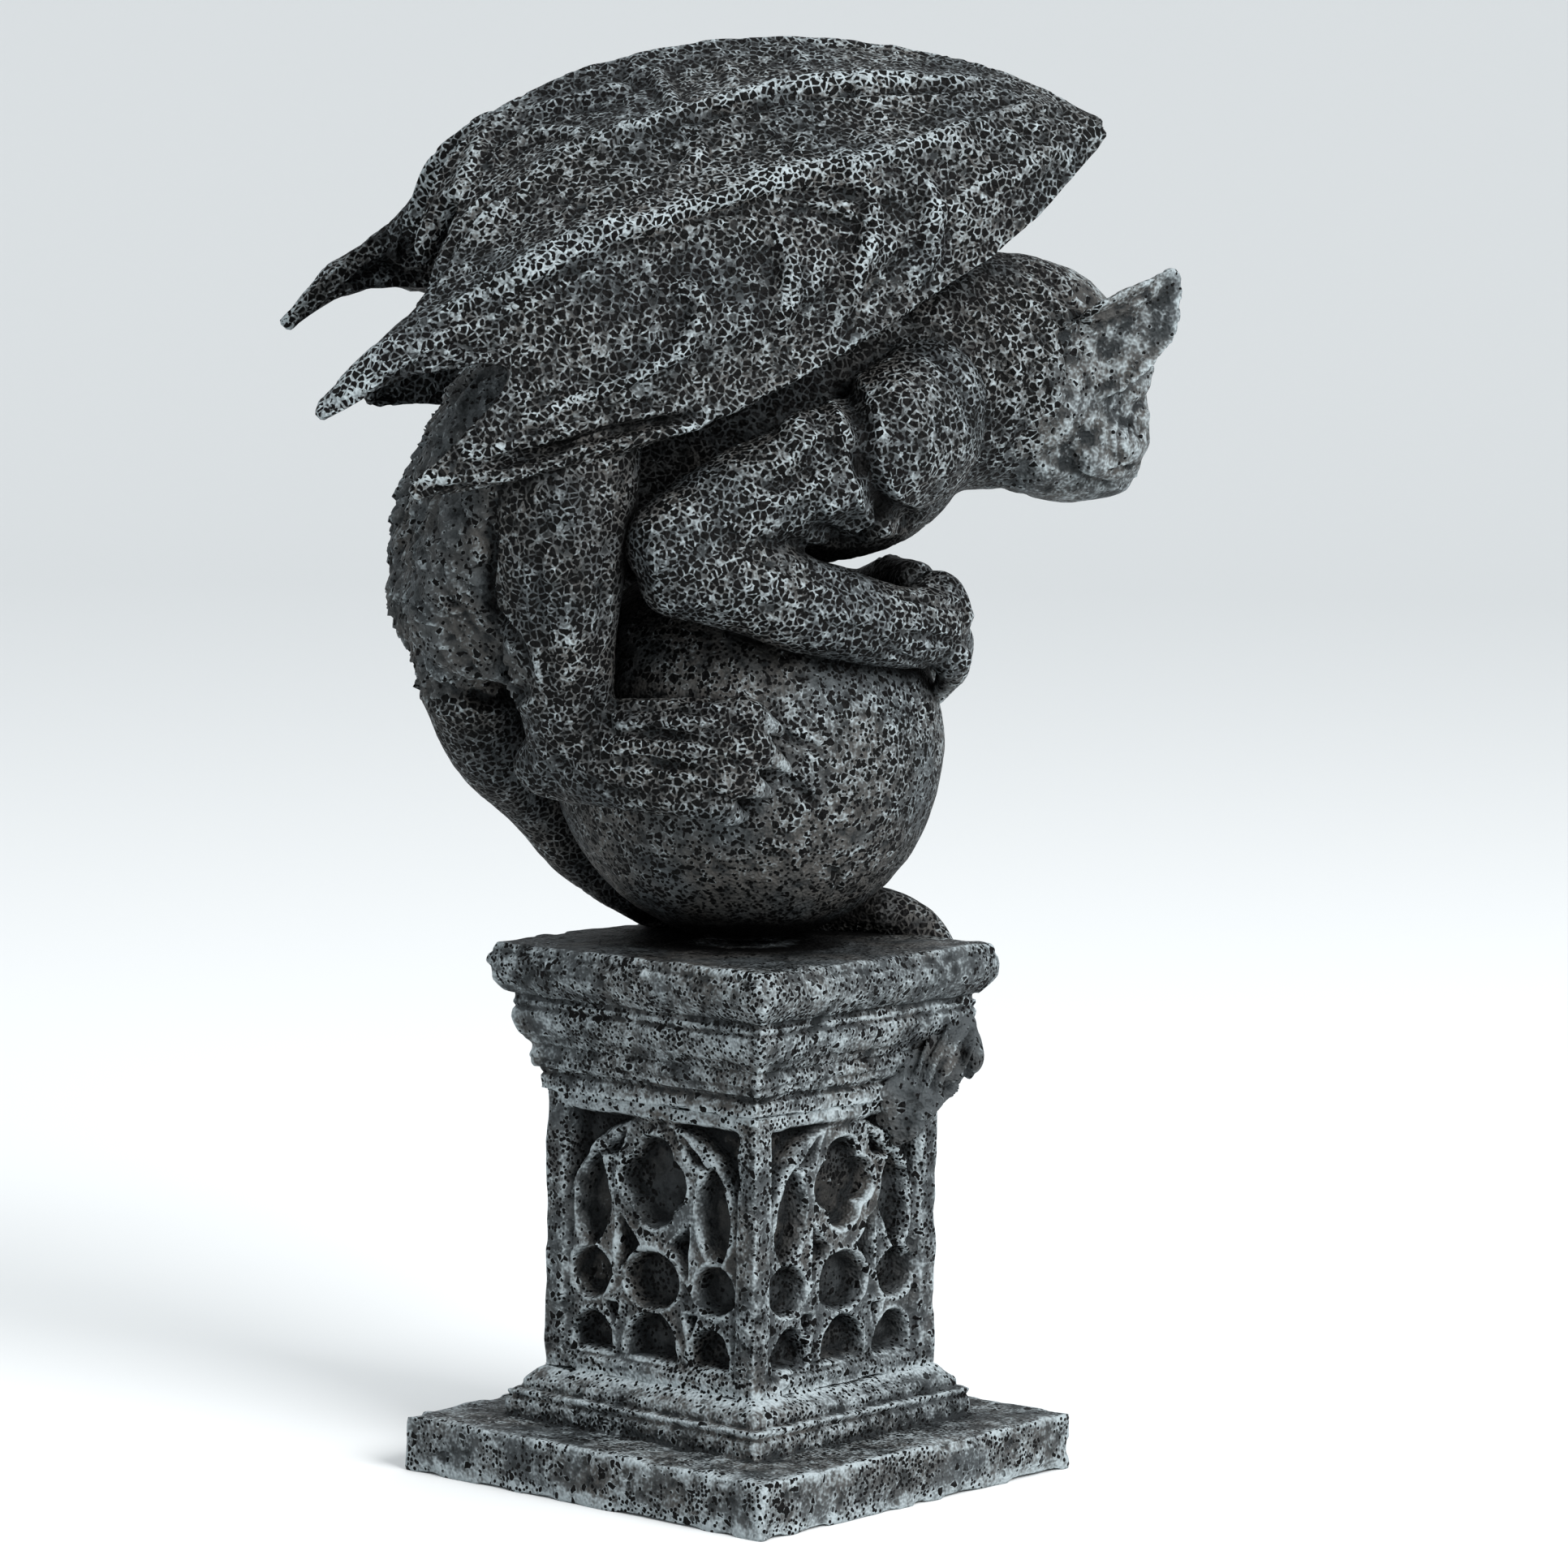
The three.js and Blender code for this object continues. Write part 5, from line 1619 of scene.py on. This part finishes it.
class Tree:
    """Shader nodes of one material, and short ways to add them."""

    def __init__(self, material: bpy.types.Material) -> None:
        """Clears the material's nodes."""
        self.nodes, self.links = material.node_tree.nodes, material.node_tree.links
        self.nodes.clear()
        self.place = self.node("ShaderNodeTexCoord").outputs["Object"]

    def feed(self, socket: bpy.types.NodeSocket, value: object) -> None:
        """Links a socket to another one, or sets its number."""
        if isinstance(value, bpy.types.NodeSocket):
            self.links.new(value, socket)
        else:
            socket.default_value = value

    def node(self, kind: str, **values: object) -> bpy.types.Node:
        """A node, its settings given in small letters and its inputs with a capital."""
        new = self.nodes.new(kind)
        for key, value in values.items():
            if key[0].islower():
                setattr(new, key, value)
            else:
                self.feed(new.inputs[key.replace("_", " ")], value)
        return new

    def layer(self, name: str) -> bpy.types.NodeSocket:
        """A layer of the mesh as a number."""
        return self.node("ShaderNodeAttribute", attribute_name=name).outputs["Fac"]

    def math(self, kind: str, a: object, b: object) -> bpy.types.NodeSocket:
        """A sum, product or the like of two numbers."""
        new = self.node("ShaderNodeMath", operation=kind)
        self.feed(new.inputs[0], a)
        self.feed(new.inputs[1], b)
        return new.outputs[0]

    def total(self, *parts: tuple[bpy.types.NodeSocket, float]) -> bpy.types.NodeSocket:
        """Numbers added up, each with its own weight."""
        whole: object = 0.0
        for value, weight in parts:
            whole = self.math("ADD", whole, self.math("MULTIPLY", value, weight))
        return whole

    def span(self, value: bpy.types.NodeSocket, low: float, high: float) -> bpy.types.NodeSocket:
        """0 below low and 1 above high, or the other way round if low is the greater."""
        start, end = (0.0, 1.0) if low < high else (1.0, 0.0)
        made = self.node("ShaderNodeMapRange", interpolation_type="SMOOTHSTEP", Value=value)
        ends = {"From Min": min(low, high), "From Max": max(low, high), "To Min": start, "To Max": end}
        for name, number in ends.items():
            made.inputs[name].default_value = number
        return made.outputs["Result"]

    def mixed(self, share: bpy.types.NodeSocket, a: object, b: object) -> bpy.types.NodeSocket:
        """Two colours mixed."""
        new = self.node("ShaderNodeMix", data_type="RGBA")
        self.feed(new.inputs[0], share)
        for socket, value in ((new.inputs[6], a), (new.inputs[7], b)):
            self.feed(socket, (*value, 1.0) if isinstance(value, tuple) else value)
        return new.outputs[2]

    def noise(self, scale: float, detail: float) -> bpy.types.NodeSocket:
        """Soft noise with so many bumps to the metre."""
        made = self.node("ShaderNodeTexNoise", Vector=self.place, Scale=scale, Detail=detail, Roughness=0.6)
        return made.outputs["Fac"]

    def shaken(self, reach: float) -> bpy.types.NodeSocket:
        """The place on the object, shaken by noise."""
        noise = self.node("ShaderNodeTexNoise", Vector=self.place, Scale=900.0, Detail=0.0)
        new = self.node("ShaderNodeVectorMath", operation="MULTIPLY_ADD")
        self.feed(new.inputs[0], noise.outputs["Color"])
        new.inputs[1].default_value = (reach, reach, reach)
        self.feed(new.inputs[2], self.place)
        return new.outputs[0]

    def finish(self, colour: bpy.types.NodeSocket, normal: bpy.types.NodeSocket, roughness: float) -> None:
        """The shader and the output."""
        shader = self.node("ShaderNodeBsdfPrincipled", Base_Color=colour, Roughness=roughness, Normal=normal)
        shader.inputs["Specular IOR Level"].default_value = 0.06
        self.node("ShaderNodeOutputMaterial", Surface=shader.outputs[0])


@dataclass
class Studio:
    """Camera, pale floor and soft lights."""

    floor_reach: float = 1.9
    bend: float = 1.5
    rise: float = 1.05
    colour: tuple[float, float, float] = (0.70, 0.71, 0.71)
    air_colour: tuple[float, float, float] = (0.93, 0.97, 1.0)
    lamps: tuple[tuple[str, float, float, float, float, float], ...] = (
        ("key", -8.0, 32.0, 1.2, 0.6, 20.5),
        ("front", -80.0, 28.0, 1.4, 0.9, 1.1),
        ("top", 60.0, 76.0, 1.3, 0.9, 4.0),
    )

    def camera(self) -> None:
        """The photograph's camera."""
        right, up, forward = VIEW.axes()
        c, s = math.cos(VIEW.roll), math.sin(VIEW.roll)
        x, y = right * c + up * s, up * c - right * s
        data = bpy.data.cameras.new("camera")
        data.sensor_width = SENSOR
        data.lens = VIEW.focal / VIEW.side * SENSOR
        data.shift_x = -VIEW.shift / VIEW.side
        data.clip_start, data.clip_end = 0.05, 50.0
        eye = placed("camera", data)
        turn = Matrix([[*row] for row in np.stack([x, y, -forward], axis=1)]).to_4x4()
        eye.matrix_world = Matrix.Translation(Vector(VIEW.place() * MM)) @ turn
        bpy.context.scene.camera = eye

    def light(self, name: str, azimuth: float, rise: float, far: float, size: float, power: float) -> None:
        """A soft square lamp that faces the figure.

        Args:
            name: the lamp's name.
            azimuth: its direction from the figure, in degrees from the X axis.
            rise: its height angle in degrees.
            far: its distance in metres.
            size: its side in metres.
            power: its power in watts.
        """
        data = bpy.data.lights.new(name, "AREA")
        data.size = size
        data.energy = power
        a, r = math.radians(azimuth), math.radians(rise)
        aim = Vector((0.0, 0.0, 0.1))
        off = Vector((math.cos(r) * math.cos(a), math.cos(r) * math.sin(a), math.sin(r))) * far
        lamp = placed(name, data)
        lamp.location = aim + off
        lamp.rotation_euler = (-off).to_track_quat("-Z", "Y").to_euler()

    def floor(self) -> None:
        """A pale floor, level with the statue's underside, that bends up all round where it meets the air."""
        sides, bends = 96, 16
        profile = [(0.4, 0.0), (self.floor_reach, 0.0)]
        for k in range(1, bends + 1):
            turn = self.rise * k / bends
            profile.append((self.floor_reach + self.bend * math.sin(turn), self.bend * (1 - math.cos(turn))))
        points = [(0.0, 0.0, 0.0)]
        for reach, height in profile:
            for i in range(sides):
                turn = 2 * math.pi * i / sides
                points.append((reach * math.cos(turn), reach * math.sin(turn), height))
        faces: list[tuple[int, ...]] = [(0, 1 + i, 1 + (i + 1) % sides) for i in range(sides)]
        for r in range(len(profile) - 1):
            a, b = 1 + r * sides, 1 + (r + 1) * sides
            faces += [(a + i, b + i, b + (i + 1) % sides, a + (i + 1) % sides) for i in range(sides)]
        mesh = bpy.data.meshes.new("floor")
        mesh.from_pydata(points, [], faces)
        mesh.polygons.foreach_set("use_smooth", [True] * len(faces))
        paper = bpy.data.materials.new("paper")
        paper.use_nodes = True
        shader = paper.node_tree.nodes["Principled BSDF"]
        shader.inputs["Base Color"].default_value = (*self.colour, 1.0)
        shader.inputs["Roughness"].default_value = 0.9
        shader.inputs["Specular IOR Level"].default_value = 0.1
        mesh.materials.append(paper)
        floor = placed("floor", mesh)
        floor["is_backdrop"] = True

    def set_up(self) -> None:
        """Floor, air and lamps."""
        bpy.context.scene.view_settings.view_transform = "Standard"
        self.floor()
        for lamp in self.lamps:
            self.light(*lamp)
        world = bpy.data.worlds.new("air")
        bpy.context.scene.world = world
        world.use_nodes = True
        air = world.node_tree.nodes["Background"]
        air.inputs["Color"].default_value = (*self.air_colour, 1.0)


def write_sizes(before: object, after: object) -> None:
    """Puts the model's bounds before and after the pieces were made into plain lists, which nothing keeps."""

    def plain(value: object) -> object:
        """Bounds as plain lists."""
        if isinstance(value, dict):
            return {str(k): plain(v) for k, v in value.items()}
        if hasattr(value, "__getitem__") and not isinstance(value, str):
            return [plain(v) for v in value]
        return value

    {"cad": plain(before), "scene": plain(after)}


def main() -> None:
    """Builds the scene."""
    logging.basicConfig(level=logging.INFO)
    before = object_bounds()
    studio = Studio()
    studio.camera()
    stone = CastStone().material()

    skins: dict[str, Skin] = {}
    plinth = Plinth()
    for course, step, across in ((Course.BASE, 0.6, 90), (Course.SHAFT, 0.36, 115), (Course.CAP, 0.42, 100)):
        skins[course.value] = plinth.skin(course, step, across)
        plinth.wear(skins[course.value], course)
    globe = Globe()
    skins["globe"] = globe.skin()
    globe.texture(skins["globe"])
    fore, hind = Foreparts(), Hindparts()
    fore_clay, hind_clay = fore.clay(), hind.clay()
    skins["foreparts"] = fore_clay.skin(fore.voxel, 3)
    skins["foreparts"].carve((*fore.folds, *Head().folds))
    fore.texture(skins["foreparts"])
    skins["hindparts"] = hind_clay.skin(hind.voxel, 3)
    skins["hindparts"].carve(hind.folds)
    skins["hindparts"].carve(hind.locks, mirror=False)
    hind.texture(skins["hindparts"])
    near, far = Wing(-1.0), Wing(1.0, 11.0)
    skins["wing_right"], skins["wing_left"] = near.skin(), far.skin()
    plain = Skin(skins["wing_right"].points.copy(), skins["wing_right"].quads)
    skins["wing_right"].carve(near.folds, plain)
    skins["wing_left"].carve(far.folds, plain, far.lift)
    for name in ("wing_right", "wing_left"):
        weather(skins[name], 0.22, 31)
        skins[name].layers["dry_brush_and_painted_light"] = np.full(len(skins[name].points), 0.8)

    # Painted shade: how much other forms hide each surface, baked into a layer that darkens its colour.
    beside = [skins[name] for name in ("globe", "wing_right", "wing_left", "plinth_cap")]
    shade = Shade([*fore_clay.shells, *hind_clay.shells], beside)
    for name, skin in skins.items():
        if name not in ("plinth_base", "plinth_shaft"):
            shade.lay(skin)
        skin.dress(name, stone)

    studio.set_up()
    write_sizes(before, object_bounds())


if __name__ == "__main__":
    main()
